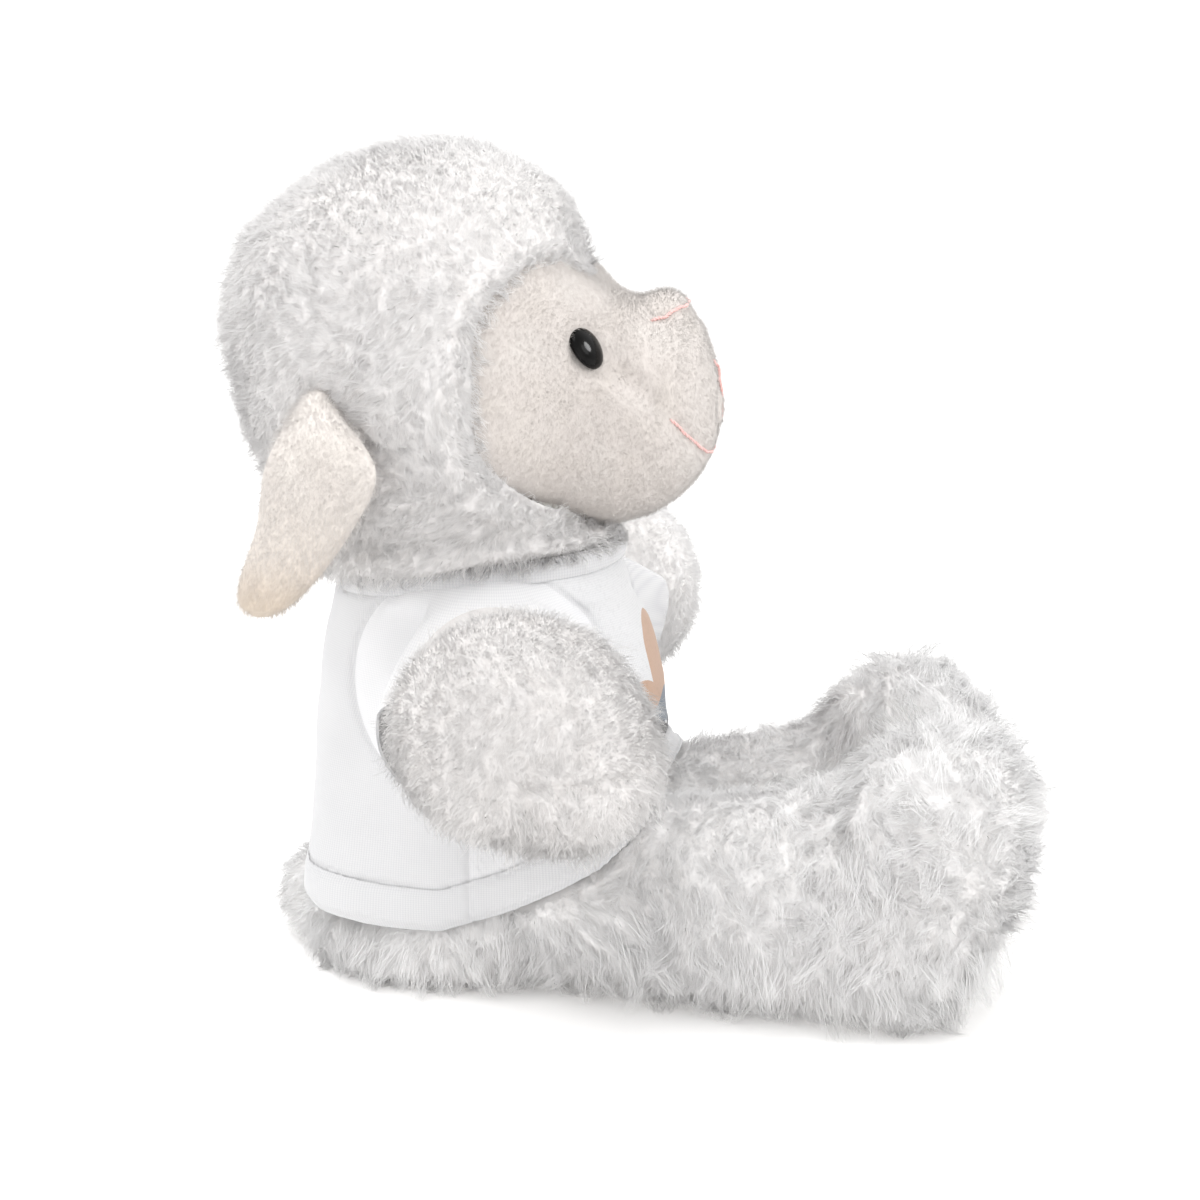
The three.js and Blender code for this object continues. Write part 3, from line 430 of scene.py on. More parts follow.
def clip(V, T, field):
    """Keeps the part of the surface where field(points) is negative, cut cleanly along its zero line."""
    g = field(V[:, :3])
    g = np.where(np.abs(g) < 1e-6, 1e-6, g)
    inside = g < 0
    c = inside[T].sum(1)
    e = np.concatenate([T[:, [0, 1]], T[:, [1, 2]], T[:, [2, 0]]])
    e = np.sort(e, 1)
    e = e[inside[e[:, 0]] != inside[e[:, 1]]]
    if len(e):
        key = np.unique(e[:, 0] * len(V) + e[:, 1])
        a, b = key // len(V), key % len(V)
        t = g[a] / (g[a] - g[b])
        new = V[a] + (V[b] - V[a]) * t[:, None]
    else:
        key, new = np.zeros(0, int), np.zeros((0, V.shape[1]))

    def mid(p, q):
        return len(V) + np.searchsorted(key, np.minimum(p, q) * len(V) + np.maximum(p, q))

    out = [T[c == 3]]
    for k in range(3):
        v0, v1, v2 = T[:, k], T[:, (k + 1) % 3], T[:, (k + 2) % 3]
        one = (c == 1) & inside[v0]
        out.append(np.stack([v0[one], mid(v0[one], v1[one]), mid(v0[one], v2[one])], 1))
        two = (c == 2) & ~inside[v0]
        m1, m2 = mid(v0[two], v1[two]), mid(v0[two], v2[two])
        out.append(np.stack([m1, v1[two], v2[two]], 1))
        out.append(np.stack([m1, v2[two], m2], 1))
    T = np.concatenate(out)
    V = np.concatenate([V, new])
    used = np.unique(T)
    back = np.zeros(len(V), int)
    back[used] = np.arange(len(used))
    V = V[used]
    V[:, 3:6] = norm(V[:, 3:6])
    T = back[T]
    keep = (T[:, 0] != T[:, 1]) & (T[:, 1] != T[:, 2]) & (T[:, 0] != T[:, 2])
    return V, T[keep]


def shell(top, bottom, T):
    """A closed thin body between two matching sheets of points."""
    n = len(top)
    e = np.concatenate([T[:, [0, 1]], T[:, [1, 2]], T[:, [2, 0]]])
    key = np.sort(e, 1)
    _, first, count = np.unique(key[:, 0] * n + key[:, 1], return_index=True, return_counts=True)
    rim = e[first[count == 1]]
    sides = np.concatenate([
        np.stack([rim[:, 1], rim[:, 0], rim[:, 0] + n], 1),
        np.stack([rim[:, 1], rim[:, 0] + n, rim[:, 1] + n], 1),
    ])
    return np.concatenate([top, bottom]), np.concatenate([T, T[:, ::-1] + n, sides])


def area_of(V, T):
    return 0.5 * np.linalg.norm(np.cross(V[T[:, 1], :3] - V[T[:, 0], :3], V[T[:, 2], :3] - V[T[:, 0], :3]), axis=1)


def scatter(V, T, count, g):
    """Points spread evenly over the surface, with their normals."""
    a = area_of(V, T)
    # stratified along the running area, so that no patch is left bare
    at = (np.arange(count) + g.uniform(0, 1, count)) / count * a.sum()
    order = np.lexsort(tuple(np.floor(V[T].mean(1)[:, i] / 6) for i in range(3)))
    i = order[np.minimum(np.searchsorted(np.cumsum(a[order]), at), len(T) - 1)]
    r1, r2 = np.sqrt(g.uniform(0, 1, count)), g.uniform(0, 1, count)
    b = np.stack([1 - r1, r1 * (1 - r2), r1 * r2], 1)
    p = (V[T[i]] * b[:, :, None]).sum(1)
    return p[:, :3], norm(p[:, 3:6])


def corner_normals(P, T):
    n = np.zeros_like(P)
    f = np.cross(P[T[:, 1]] - P[T[:, 0]], P[T[:, 2]] - P[T[:, 0]])
    for k in range(3):
        np.add.at(n, T[:, k], f)
    return norm(n)


def tufted(V, T, seed, spacing, stretch, flow, gain, height, tip, cover, wander=0.35, rough=None):
    """Raises a skin by gain into overlapping locks of pile that hang along flow(points, normals); cover is 0 where it
    stays bare.
    The last column tells a lock's crest, 1, from the hollows between locks, 0; the skin's colour uses it to paint shade
    into the hollows."""
    g = np.random.default_rng(seed)
    P, N = V[:, :3], V[:, 3:6]
    C, CN = scatter(V, T, max(8, int(area_of(V, T).sum() / (0.8 * spacing * spacing))), g)
    F = flow(C, CN) + wander * g.normal(size=C.shape)
    F = norm(F - CN * (F * CN).sum(1, keepdims=True))
    big = g.uniform(0.25, 1.0, len(C))
    tree = KDTree(len(C))
    for i, c in enumerate(C):
        tree.insert(c, i)
    tree.balance()
    near = np.array([[x[1] for x in tree.find_n(p, 6)] for p in P])
    q = P[:, None] - C[near]
    a = (q * F[near]).sum(2)
    c = np.linalg.norm(q - a[..., None] * F[near], axis=2)
    d = np.sqrt(((a - 0.3 * spacing) / stretch) ** 2 + c * c) / spacing - 0.14 * big[near]
    o = np.argsort(d, 1)
    at = np.arange(len(P))
    d0, d1, a0, b0 = d[at, o[:, 0]], d[at, o[:, 1]], a[at, o[:, 0]], big[near[at, o[:, 0]]]
    h = height * (0.35 + 0.65 * b0) * (1 - 0.55 * np.clip(d0 + 0.14, 0, 1.1) ** 2)
    h = h + tip * np.clip(a0 / (stretch * spacing), -1, 1) - 0.32 * height * np.exp(-(((d1 - d0) / 0.17) ** 2))
    e = np.concatenate([T[:, [0, 1]], T[:, [1, 2]], T[:, [2, 0]]])
    tot, num = np.zeros(len(P)), np.zeros(len(P))
    for _ in range(2):
        tot[:], num[:] = 0, 0
        for i, j in ((0, 1), (1, 0)):
            np.add.at(tot, e[:, i], h[e[:, j]])
            np.add.at(num, e[:, i], 1)
        h = 0.45 * h + 0.55 * tot / np.maximum(num, 1)
    if rough is not None:
        h = h * rough(P)
    k = cover(P)
    out = P + N * ((gain + h) * k)[:, None]
    out[:, 2] = np.maximum(out[:, 2], FLOOR + 0.1)
    # crest to hollow, for painted shade in the hollows
    low, high = np.percentile(h, [4, 96])
    shade_level = np.clip((h - low) / (high - low), 0, 1)
    return np.concatenate([out, corner_normals(out, T), shade_level[:, None]], 1), T


# ------------------------------------------------------------------ mesh output
class Build:
    """Collects points, faces and UVs of one piece."""

    def __init__(self):
        self.v, self.loops, self.sizes, self.uv, self.n = [], [], [], [], 0
        self.shade, self.soft = [], False

    def add(self, V, F, uv=None, shade=None):
        """shade: the directions that the points are shaded by, where these aren't the mesh's own."""
        F = np.asarray(F)
        self.v.append(V[:, :3])
        self.shade.append(np.zeros((len(V), 3)) if shade is None else shade)
        self.soft = self.soft or shade is not None
        F = F[:, ::-1]  # (x, f, z) to the row frame mirrors the faces
        self.loops.append((F + self.n).ravel())
        self.sizes.append(np.full(len(F), F.shape[1]))
        self.uv.append(np.zeros((F.size, 2)) if uv is None else uv[F.ravel()])
        self.n += len(V)

    def make(self, name, material, uv_name=None, flat=False):
        v = np.concatenate(self.v) * np.array([0.001, -0.001, 0.001])
        loops = np.concatenate(self.loops).astype(np.int32)
        sizes = np.concatenate(self.sizes).astype(np.int32)
        me = bpy.data.meshes.new(name)
        me.vertices.add(len(v))
        me.vertices.foreach_set("co", v.astype(np.float32).ravel())
        me.loops.add(len(loops))
        me.loops.foreach_set("vertex_index", loops)
        me.polygons.add(len(sizes))
        me.polygons.foreach_set("loop_start", np.concatenate([[0], np.cumsum(sizes)[:-1]]).astype(np.int32))
        me.update(calc_edges=True)
        me.validate()
        me.polygons.foreach_set("use_smooth", np.full(len(me.polygons), not flat))
        if uv_name:
            layer = me.uv_layers.new(name=uv_name)
            layer.data.foreach_set("uv", np.concatenate(self.uv).astype(np.float32).ravel())
        me.materials.append(material)
        if self.soft:
            me.normals_split_custom_set_from_vertices(np.concatenate(self.shade) * np.array([1, -1, 1]))
        me.update()
        o = bpy.data.objects.new(name, me)
        bpy.context.scene.collection.objects.link(o)
        print("piece", name, len(v), int((sizes - 2).sum()))
        return o


def strand_faces(n, K):
    """Faces of n three-sided tapering strands of K points."""
    per = (K - 1) * 3 + 1
    quads, tris = [], []
    for k in range(K - 2):
        for s in range(3):
            a, b = k * 3 + s, k * 3 + (s + 1) % 3
            quads.append((a, b, b + 3, a + 3))
    for s in range(3):
        a, b = (K - 2) * 3 + s, (K - 2) * 3 + (s + 1) % 3
        tris.append((a, b, per - 1))
    tris.append((2, 1, 0))
    off = (np.arange(n) * per)[:, None, None]
    q = (np.array(quads)[None] + off).reshape(-1, 4) if quads else None
    return q, (np.array(tris)[None] + off).reshape(-1, 3)


def add_strands(build, Q, radius, tip, tint, g, N, soft=0.7):
    """Strands along the paths Q. Fine fibres let light through, so they are shaded mostly by the skin's direction N."""
    n, K, _ = Q.shape
    T = np.empty_like(Q)
    T[:, 1:-1] = Q[:, 2:] - Q[:, :-2]
    T[:, 0] = Q[:, 1] - Q[:, 0]
    T[:, -1] = Q[:, -1] - Q[:, -2]
    T = norm(T)
    ref = norm(g.normal(size=(n, 1, 3)))
    A = norm(np.cross(T, ref))
    B = np.cross(T, A)
    t = np.linspace(0, 1, K)
    r = radius[:, None] * (1 - (1 - tip) * t[None] ** 1.4)
    ring = []
    for s in range(3):
        a = 2 * math.pi * s / 3
        ring.append(Q[:, :-1] + (A[:, :-1] * math.cos(a) + B[:, :-1] * math.sin(a)) * r[:, :-1, None])
    body = np.stack(ring, 2).reshape(n, (K - 1) * 3, 3)
    body[..., 2] = np.maximum(body[..., 2], FLOOR - 0.25)
    V = np.concatenate([body, Q[:, -1:]], 1).reshape(-1, 3)
    own = np.stack([A[:, :-1] * math.cos(2 * math.pi * k / 3) + B[:, :-1] * math.sin(2 * math.pi * k / 3) for k in range(3)], 2)
    shade = norm(soft * N[:, None] + (1 - soft) * own.reshape(n, (K - 1) * 3, 3))
    shade = np.concatenate([shade, N[:, None]], 1).reshape(-1, 3)
    u = tint[:, None, None] + np.array([0, 0.012, 0.024])[None, None]
    u = np.broadcast_to(u, (n, K - 1, 3)).reshape(n, -1)
    v = np.broadcast_to((0.12 + 0.86 * t[:-1])[None, :, None], (n, K - 1, 3)).reshape(n, -1)
    uv = np.stack([np.concatenate([u, tint[:, None] + 0.012], 1), np.concatenate([v, np.full((n, 1), 0.98)], 1)], 2)
    uv = uv.reshape(-1, 2)
    quads, tris = strand_faces(n, K)
    start = build.n
    if quads is not None:
        build.add(V, quads, uv, shade)
        # the tip and root faces use the same points
        build.loops.append((tris[:, ::-1] + start).ravel())
        build.sizes.append(np.full(len(tris), 3))
        build.uv.append(uv[tris[:, ::-1].ravel()])
    else:
        build.add(V, tris, uv, shade)


def fur(build, V, T, seed, density, spacing, length, vary, lift, flow, curl=0.0, turns=1.0, clump=0.7, radius=0.14,
        tip=0.3, K=5, spread=0.5, droop=0.0, keep=None, trim=None, wave=0.25, clear=None, tone_at=None, soft=0.92):
    """Grows pile on a surface: locks of strands that lean with flow(points, normals), curl and sag."""
    g = np.random.default_rng(seed)
    total = area_of(V, T).sum()
    n = int(total * density)
    P, N = scatter(V, T, n, g)
    C, CN = scatter(V, T, max(4, int(total / (0.8 * spacing * spacing))), g)
    if keep is not None:
        k = keep(P)
        P, N = P[k], N[k]
        n = len(P)
    tree = KDTree(len(C))
    for i, c in enumerate(C):
        tree.insert(c, i)
    tree.balance()
    which = np.array([tree.find(p)[1] for p in P])
    t = np.linspace(0, 1, K)

    def lean(p, nn):
        d = flow(p, nn)
        return d - nn * (d * nn).sum(1, keepdims=True)

    r = norm(g.normal(size=C.shape))
    r = norm(r - CN * (r * CN).sum(1, keepdims=True))
    DC = norm(CN * lift + lean(C, CN) + r * spread * g.uniform(0.2, 1.0, (len(C), 1)))
    LC = length * (1 + vary * g.normal(size=len(C)).clip(-1.8, 1.8))
    r = norm(g.normal(size=P.shape))
    D = norm(0.75 * DC[which] + 0.35 * norm(N * lift + lean(P, N)) + 0.28 * r)
    L = LC[which] * g.uniform(0.72, 1.12, n)
    if trim is not None:
        L = L * trim(P)
        LC = LC * trim(C)
    down = np.array([0, 0, -1.0])

    def path(p, d, ln):
        q = p[:, None] + d[:, None] * (ln[:, None] * t[None])[..., None]
        return q + down * (droop * ln[:, None] * t[None] ** 2)[..., None]

    own = path(P, D, L)
    axis = path(C, DC, LC)[which]
    mix = (clump * t ** 0.75)[None, :, None]
    off = (P - C[which])[:, None] * (0.42 - 0.2 * t)[None, :, None] / 0.42 * 0.42
    Q = own * (1 - mix) + (axis + off) * mix
    if curl:
        e1 = norm(np.cross(DC, r[:1] + np.array([0.3, 0.5, 0.1])))
        e2 = np.cross(DC, e1)
        ph = g.uniform(0, 2 * math.pi, len(C))
        hand = np.where(g.uniform(size=len(C)) < 0.5, -1.0, 1.0)
        w = ph[which][:, None] + hand[which][:, None] * 2 * math.pi * turns * t[None] + g.normal(0, 0.35, (n, 1))
        amp = curl * (0.6 + 0.6 * g.uniform(size=n))[:, None] * (t ** 0.8)[None]
        Q = Q + (e1[which][:, None] * np.cos(w)[..., None] + e2[which][:, None] * np.sin(w)[..., None]) * amp[..., None]
    if wave:
        side = norm(np.cross(D, norm(g.normal(size=D.shape))))
        ph = g.uniform(0, 6.28, (n, 1))
        Q = Q + side[:, None] * (wave * L[:, None] * 0.16 * np.sin(ph + 4.5 * t[None]) * t[None])[..., None]
    if clear is not None:
        # strands that would run into a neighbour lie on it instead
        other, margin = clear
        pts = Q[:, 1:].reshape(-1, 3)
        for _ in range(2):
            gap = other(pts)
            hit = gap < margin
            pts[hit] += gradient(other, pts[hit]) * (margin - gap[hit])[:, None]
        Q[:, 1:] = pts.reshape(n, K - 1, 3)
    Q[:, 0] = P - N * 0.35
    Q[..., 2] = np.maximum(Q[..., 2], FLOOR + 0.1 + 0.5 * g.uniform(size=(n, 1)))
    tone = g.uniform(0.08, 0.88, len(C))
    tint = np.clip(0.7 * tone[which] + 0.3 * g.uniform(0.05, 0.9, n), 0.04, 0.94)
    if tone_at is not None:
        tint = np.clip(tone_at(P) + 0.1 * (tint - 0.5), 0.03, 0.95)
    add_strands(build, Q, radius * g.uniform(0.75, 1.15, n), tip, tint, g, N, soft)


def add_skin(build, V, T, thick=1.2):
    """The cloth the pile stands on, as a closed thin body, with painted shade in the hollows between its locks."""
    P, N = V[:, :3], V[:, 3:6]
    W, F = shell(P, P - N * thick, T)
    # painted shade: the map's second axis runs the colour from the hollows' dark to the roots' tone; a skin without
    # locks gets a random tone here instead
    shade_level = V[:, 6] if V.shape[1] > 6 else 0.5 + 0.4 * _tone2(P)
    uv = np.stack([np.clip(0.5 + 0.3 * _tone(W), 0.05, 0.95), 0.015 + 0.1 * np.concatenate([shade_level, shade_level])], 1)
    build.add(W, F, uv, np.concatenate([N, -N]))


_tone, _tone2 = ripples(5, 7, 6, 15), ripples(6, 7, 4, 9)


def tubes(build, Q, radii, sides=6, ends=True):
    """Round closed tubes along the paths Q (n, K, 3), with a radius for each of the K points."""
    n, K, _ = Q.shape
    T = np.empty_like(Q)
    T[:, 1:-1] = Q[:, 2:] - Q[:, :-2]
    T[:, 0] = Q[:, 1] - Q[:, 0]
    T[:, -1] = Q[:, -1] - Q[:, -2]
    T = norm(T)
    A = np.empty_like(Q)
    a = norm(np.cross(T[:, 0], np.where(np.abs(T[:, 0, 2:3]) > 0.9, [[1.0, 0, 0]], [[0, 0, 1.0]])))
    for k in range(K):
        a = norm(a - T[:, k] * (a * T[:, k]).sum(1, keepdims=True))
        A[:, k] = a
    B = np.cross(T, A)
    rad = np.broadcast_to(radii, (n, K))
    pts = [Q + (A * math.cos(2 * math.pi * s / sides) + B * math.sin(2 * math.pi * s / sides)) * rad[..., None] for s in range(sides)]
    V = np.stack(pts, 2).reshape(n, K * sides, 3)
    V = np.concatenate([V, Q[:, :1], Q[:, -1:]], 1)
    per = K * sides + 2
    quads, tris = [], []
    for k in range(K - 1):
        for s in range(sides):
            a0, b0 = k * sides + s, k * sides + (s + 1) % sides
            quads.append((a0, b0, b0 + sides, a0 + sides))
    for s in range(sides):
        tris.append(((s + 1) % sides, s, per - 2))
        tris.append(((K - 1) * sides + s, (K - 1) * sides + (s + 1) % sides, per - 1))
    off = (np.arange(n) * per)[:, None, None]
    start = build.n
    build.add(V.reshape(-1, 3), (np.array(quads)[None] + off).reshape(-1, 4))
    t = (np.array(tris)[None] + off).reshape(-1, 3)[:, ::-1]
    build.loops.append((t + start).ravel())
    build.sizes.append(np.full(len(t), 3))
    build.uv.append(np.zeros((t.size, 2)))


# --------------------------------------------------------------------- materials
def lin(r, g, b):
    f = lambda c: (c / 255 / 12.92) if c <= 10.3 else ((c / 255 + 0.055) / 1.055) ** 2.4
    return (f(r), f(g), f(b), 1.0)


def material(name, roughness=0.9, sheen=0.0, specular=0.3):
    m = bpy.data.materials.new(name)
    m.use_nodes = True
    nt = m.node_tree
    bsdf = nt.nodes["Principled BSDF"]
    bsdf.inputs["Roughness"].default_value = roughness
    bsdf.inputs["Specular IOR Level"].default_value = specular
    bsdf.inputs["Sheen Weight"].default_value = sheen
    bsdf.inputs["Sheen Roughness"].default_value = 0.5
    return m, nt, bsdf


def node(nt, kind, **values):
    n = nt.nodes.new(kind)
    for k, v in values.items():
        if k in n.inputs:
            n.inputs[k].default_value = v
        else:
            setattr(n, k, v)
    return n


def ramp(nt, source, stops):
    r = nt.nodes.new("ShaderNodeValToRGB")
    while len(r.color_ramp.elements) < len(stops):
        r.color_ramp.elements.new(0.5)
    for e, (at, col) in zip(r.color_ramp.elements, stops):
        e.position = at
        e.color = col
    nt.links.new(source, r.inputs["Fac"])
    return r.outputs["Color"]


def mix(nt, kind, fac, a, b):
    m = nt.nodes.new("ShaderNodeMix")
    m.data_type = "RGBA"
    m.blend_type = kind
    for s, val in (("Factor", fac), ("A", a), ("B", b)):
        socket = next(i for i in m.inputs if i.name == s and i.type == ("VALUE" if s == "Factor" else "RGBA"))
        if hasattr(val, "is_linked"):
            nt.links.new(val, socket)
        else:
            socket.default_value = val
    return next(o for o in m.outputs if o.type == "RGBA")


def pile_material(name, root, middle, end):
    """Wool pile: colour from root to tip and from lock to lock, with painted shade: darker towards the roots, and
    darkest on the skin in the hollows between locks.
    """
    m, nt, bsdf = material(name, 0.9, 0.0, 0.12)
    uv = node(nt, "ShaderNodeUVMap", uv_map="OFBake")
    sep = node(nt, "ShaderNodeSeparateXYZ")
    nt.links.new(uv.outputs["UV"], sep.inputs[0])
    # painted shade: the hollows between locks and the strands' roots are coloured darker than the tips
    hollow = (0.955 * root[0], 0.947 * root[1], 0.94 * root[2], 1)
    along = ramp(nt, sep.outputs["Y"], [(0.02, hollow), (0.115, root), (0.45, middle), (0.85, end)])
    lock = ramp(nt, sep.outputs["X"], [(0.0, (0.978, 0.975, 0.973, 1)), (0.5, (0.993, 0.992, 0.991, 1)), (1.0, (1, 1, 1, 1))])
    col = mix(nt, "MULTIPLY", 1.0, along, lock)
    nt.links.new(col, bsdf.inputs["Base Color"])
    return m


def object_coords(nt, scale=(1, 1, 1)):
    tc = node(nt, "ShaderNodeTexCoord")
    mp = node(nt, "ShaderNodeMapping")
    mp.inputs["Scale"].default_value = scale
    nt.links.new(tc.outputs["Object"], mp.inputs["Vector"])
    return mp.outputs["Vector"]


def noise(nt, vector, scale, detail=3.0, rough=0.55):
    n = node(nt, "ShaderNodeTexNoise", Scale=scale, Detail=detail, Roughness=rough)
    nt.links.new(vector, n.inputs["Vector"])
    return n.outputs["Fac"]


def bump(nt, bsdf, height, strength, distance):
    b = node(nt, "ShaderNodeBump", Strength=strength, Distance=distance)
    nt.links.new(height, b.inputs["Height"])
    nt.links.new(b.outputs["Normal"], bsdf.inputs["Normal"])
    return b


def plush_material(name, dark, mid, light):
    """Short shorn plush: brushed patches, a fine nap and a soft sheen."""
    m, nt, bsdf = material(name, 0.85, 0.35, 0.2)
    v = object_coords(nt)
    broad = noise(nt, v, 75, 3, 0.6)
    col = ramp(nt, broad, [(0.34, dark), (0.52, mid), (0.7, light)])
    fine = noise(nt, object_coords(nt, (1, 1, 0.55)), 1700, 2, 0.6)
    nap = ramp(nt, fine, [(0.3, (0.93, 0.925, 0.92, 1)), (0.6, (1, 1, 1, 1))])
    nt.links.new(mix(nt, "MULTIPLY", 0.5, col, nap), bsdf.inputs["Base Color"])
    bump(nt, bsdf, fine, 0.25, 0.0003)
    return m


def nap_material(name, root, end, low=(0.95, 0.946, 0.942, 1)):
    m, nt, bsdf = material(name, 0.85, 0.3, 0.2)
    uv = node(nt, "ShaderNodeUVMap", uv_map="OFBake")
    sep = node(nt, "ShaderNodeSeparateXYZ")
    nt.links.new(uv.outputs["UV"], sep.inputs[0])
    # painted shade: the nap is coloured darker towards its roots
    along = ramp(nt, sep.outputs["Y"], [(0.0, root), (0.9, end)])
    lock = ramp(nt, sep.outputs["X"], [(0.0, low), (0.6, (0.985, 0.98, 0.975, 1)), (1.0, (1, 1, 1, 1))])
    nt.links.new(mix(nt, "MULTIPLY", 1.0, along, lock), bsdf.inputs["Base Color"])
    return m


def ear_material(name, dark, mid, light):
    """The face's plush, a little yellowed towards the ear's tip."""
    m = plush_material(name, dark, mid, light)
    nt = m.node_tree
    bsdf = nt.nodes["Principled BSDF"]
    was = bsdf.inputs["Base Color"].links[0].from_socket
    tc = node(nt, "ShaderNodeTexCoord")
    sep = node(nt, "ShaderNodeSeparateXYZ")
    nt.links.new(tc.outputs["Object"], sep.inputs[0])
    low = ramp(nt, sep.outputs["Z"], [(0.096, (0.89, 0.81, 0.70, 1)), (0.108, (0.985, 0.955, 0.92, 1)), (0.125, (1, 1, 1, 1))])
    nt.links.new(mix(nt, "MULTIPLY", 1.0, was, low), bsdf.inputs["Base Color"])
    return m


def jersey_material(name, rib=0.00058, print_on=False, lift=0):
    """Fine white jersey: rows of knit loops from the Knit map with painted shade in the knit's grooves, soft patches of
    wear, an optional plain print; lift paints the whole jersey lighter.
    """
    m, nt, bsdf = material(name, 0.8, 0.2, 0.25)
    uv = node(nt, "ShaderNodeUVMap", uv_map="Knit")
    sep = node(nt, "ShaderNodeSeparateXYZ")
    nt.links.new(uv.outputs["UV"], sep.inputs[0])

    def m2(op, a, b=None):
        n = node(nt, "ShaderNodeMath", operation=op)
        for i, val in enumerate((a, b)):
            if val is None:
                continue
            if hasattr(val, "is_linked"):
                nt.links.new(val, n.inputs[i])
            else:
                n.inputs[i].default_value = val
        return n.outputs[0]

    across = m2("MULTIPLY", sep.outputs["X"], 2 * math.pi / rib)
    wale = m2("ABSOLUTE", m2("SINE", m2("MULTIPLY", across, 0.5)))
    slant = m2("MULTIPLY", wale, 1.6)
    course = m2("SINE", m2("ADD", m2("MULTIPLY", sep.outputs["Y"], 2 * math.pi / (rib * 0.9)), slant))
    knit = m2("ADD", m2("MULTIPLY", wale, 0.65), m2("MULTIPLY", course, 0.22))
    v = object_coords(nt)
    fuzz = noise(nt, v, 900, 2, 0.6)
    height = m2("ADD", knit, m2("MULTIPLY", fuzz, 0.5))
    # painted shade: the colour is darker where the knit's loops are low; lift raises every colour, as painted light
    shade = ramp(nt, knit, [(0.0, lin(203 + lift, 203 + lift, 205 + lift)), (0.5, lin(211 + lift, 211 + lift, 212 + lift)), (0.9, lin(216 + lift, 216 + lift, 216 + lift))])
    patch = ramp(nt, noise(nt, v, 40, 2), [(0.35, (0.975, 0.975, 0.978, 1)), (0.65, (1, 1, 1, 1))])
    col = mix(nt, "MULTIPLY", 1.0, shade, patch)
    if print_on:
        col = chest_print(nt, col, m2)
    nt.links.new(col, bsdf.inputs["Base Color"])
    bump(nt, bsdf, height, 0.14, 0.0002)
    return m


def chest_print(nt, base, m2):
    """A plain sun over three rolling bands, in tan, slate and charcoal, set on the middle of the chest."""
    tc = node(nt, "ShaderNodeTexCoord")
    sep = node(nt, "ShaderNodeSeparateXYZ")
    nt.links.new(tc.outputs["Object"], sep.inputs[0])
    x, y, z = sep.outputs["X"], sep.outputs["Y"], sep.outputs["Z"]
    front = m2("LESS_THAN", y, 0.02)

    def within(a, low, high):
        return m2("MULTIPLY", m2("GREATER_THAN", a, low), m2("LESS_THAN", a, high))

    side = m2("LESS_THAN", m2("ABSOLUTE", x), 0.0185)
    speck = ramp(nt, noise(nt, tc.outputs["Object"], 1100, 2), [(0.3, (0.8, 0.8, 0.8, 1)), (0.5, (1, 1, 1, 1))])
    # sun
    dz = m2("SUBTRACT", z, 0.0745)
    rad = m2("SQRT", m2("ADD", m2("MULTIPLY", x, x), m2("MULTIPLY", dz, dz)))
    out = mix(nt, "MIX", m2("MULTIPLY", m2("LESS_THAN", rad, 0.0125), front), base, lin(189, 158, 137))
    # rolling bands
    for low, high, size, phase, colour in ((0.0615, 0.0715, 0.0016, 0.4, lin(189, 158, 137)), (0.0575, 0.0665, 0.0017, 1.9, lin(120, 128, 138)),
                                           (0.0495, 0.059, 0.0015, 3.6, lin(58, 56, 57))):
        w = m2("MULTIPLY", m2("SINE", m2("ADD", m2("MULTIPLY", x, 2 * math.pi / 0.021), phase)), size)
        zz = m2("SUBTRACT", z, w)
        out = mix(nt, "MIX", m2("MULTIPLY", m2("MULTIPLY", within(zz, low, high), side), front), out, colour)
    return mix(nt, "MULTIPLY", 0.35, out, speck)


def thread_material(name, colour, dark):
    m, nt, bsdf = material(name, 0.6, 0.2, 0.35)
    v = object_coords(nt)
    fine = noise(nt, v, 2600, 2)
    nt.links.new(ramp(nt, fine, [(0.3, dark), (0.65, colour)]), bsdf.inputs["Base Color"])
    bump(nt, bsdf, fine, 0.4, 0.0003)
    return m


def speckled_material(name, a, b, scale, roughness=0.9, strength=0.4, distance=0.0005, sheen=0.0):
    m, nt, bsdf = material(name, roughness, sheen, 0.3)
    f = noise(nt, object_coords(nt), scale, 4, 0.6)
    nt.links.new(ramp(nt, f, [(0.32, a), (0.68, b)]), bsdf.inputs["Base Color"])
    bump(nt, bsdf, f, strength, distance)
    return m


def eye_material():
    m, nt, bsdf = material("eye_gloss", 0.06, 0.0, 0.1)
    v = object_coords(nt)
    f = noise(nt, v, 260, 2)
    nt.links.new(ramp(nt, f, [(0.3, (0.0035, 0.0033, 0.0032, 1)), (0.7, (0.008, 0.0076, 0.0074, 1))]), bsdf.inputs["Base Color"])
    nt.links.new(ramp(nt, noise(nt, v, 420, 3), [(0.3, (0.1, 0.1, 0.1, 1)), (0.75, (0.16, 0.16, 0.16, 1))]), bsdf.inputs["Roughness"])
    return m


M_WOOL = pile_material("curly_wool", (0.858, 0.840, 0.831, 1), (0.880, 0.866, 0.858, 1), (0.900, 0.888, 0.881, 1))
M_PILE = pile_material("long_pile", (0.968, 0.957, 0.951, 1), (0.988, 0.981, 0.977, 1), (0.996, 0.992, 0.989, 1))
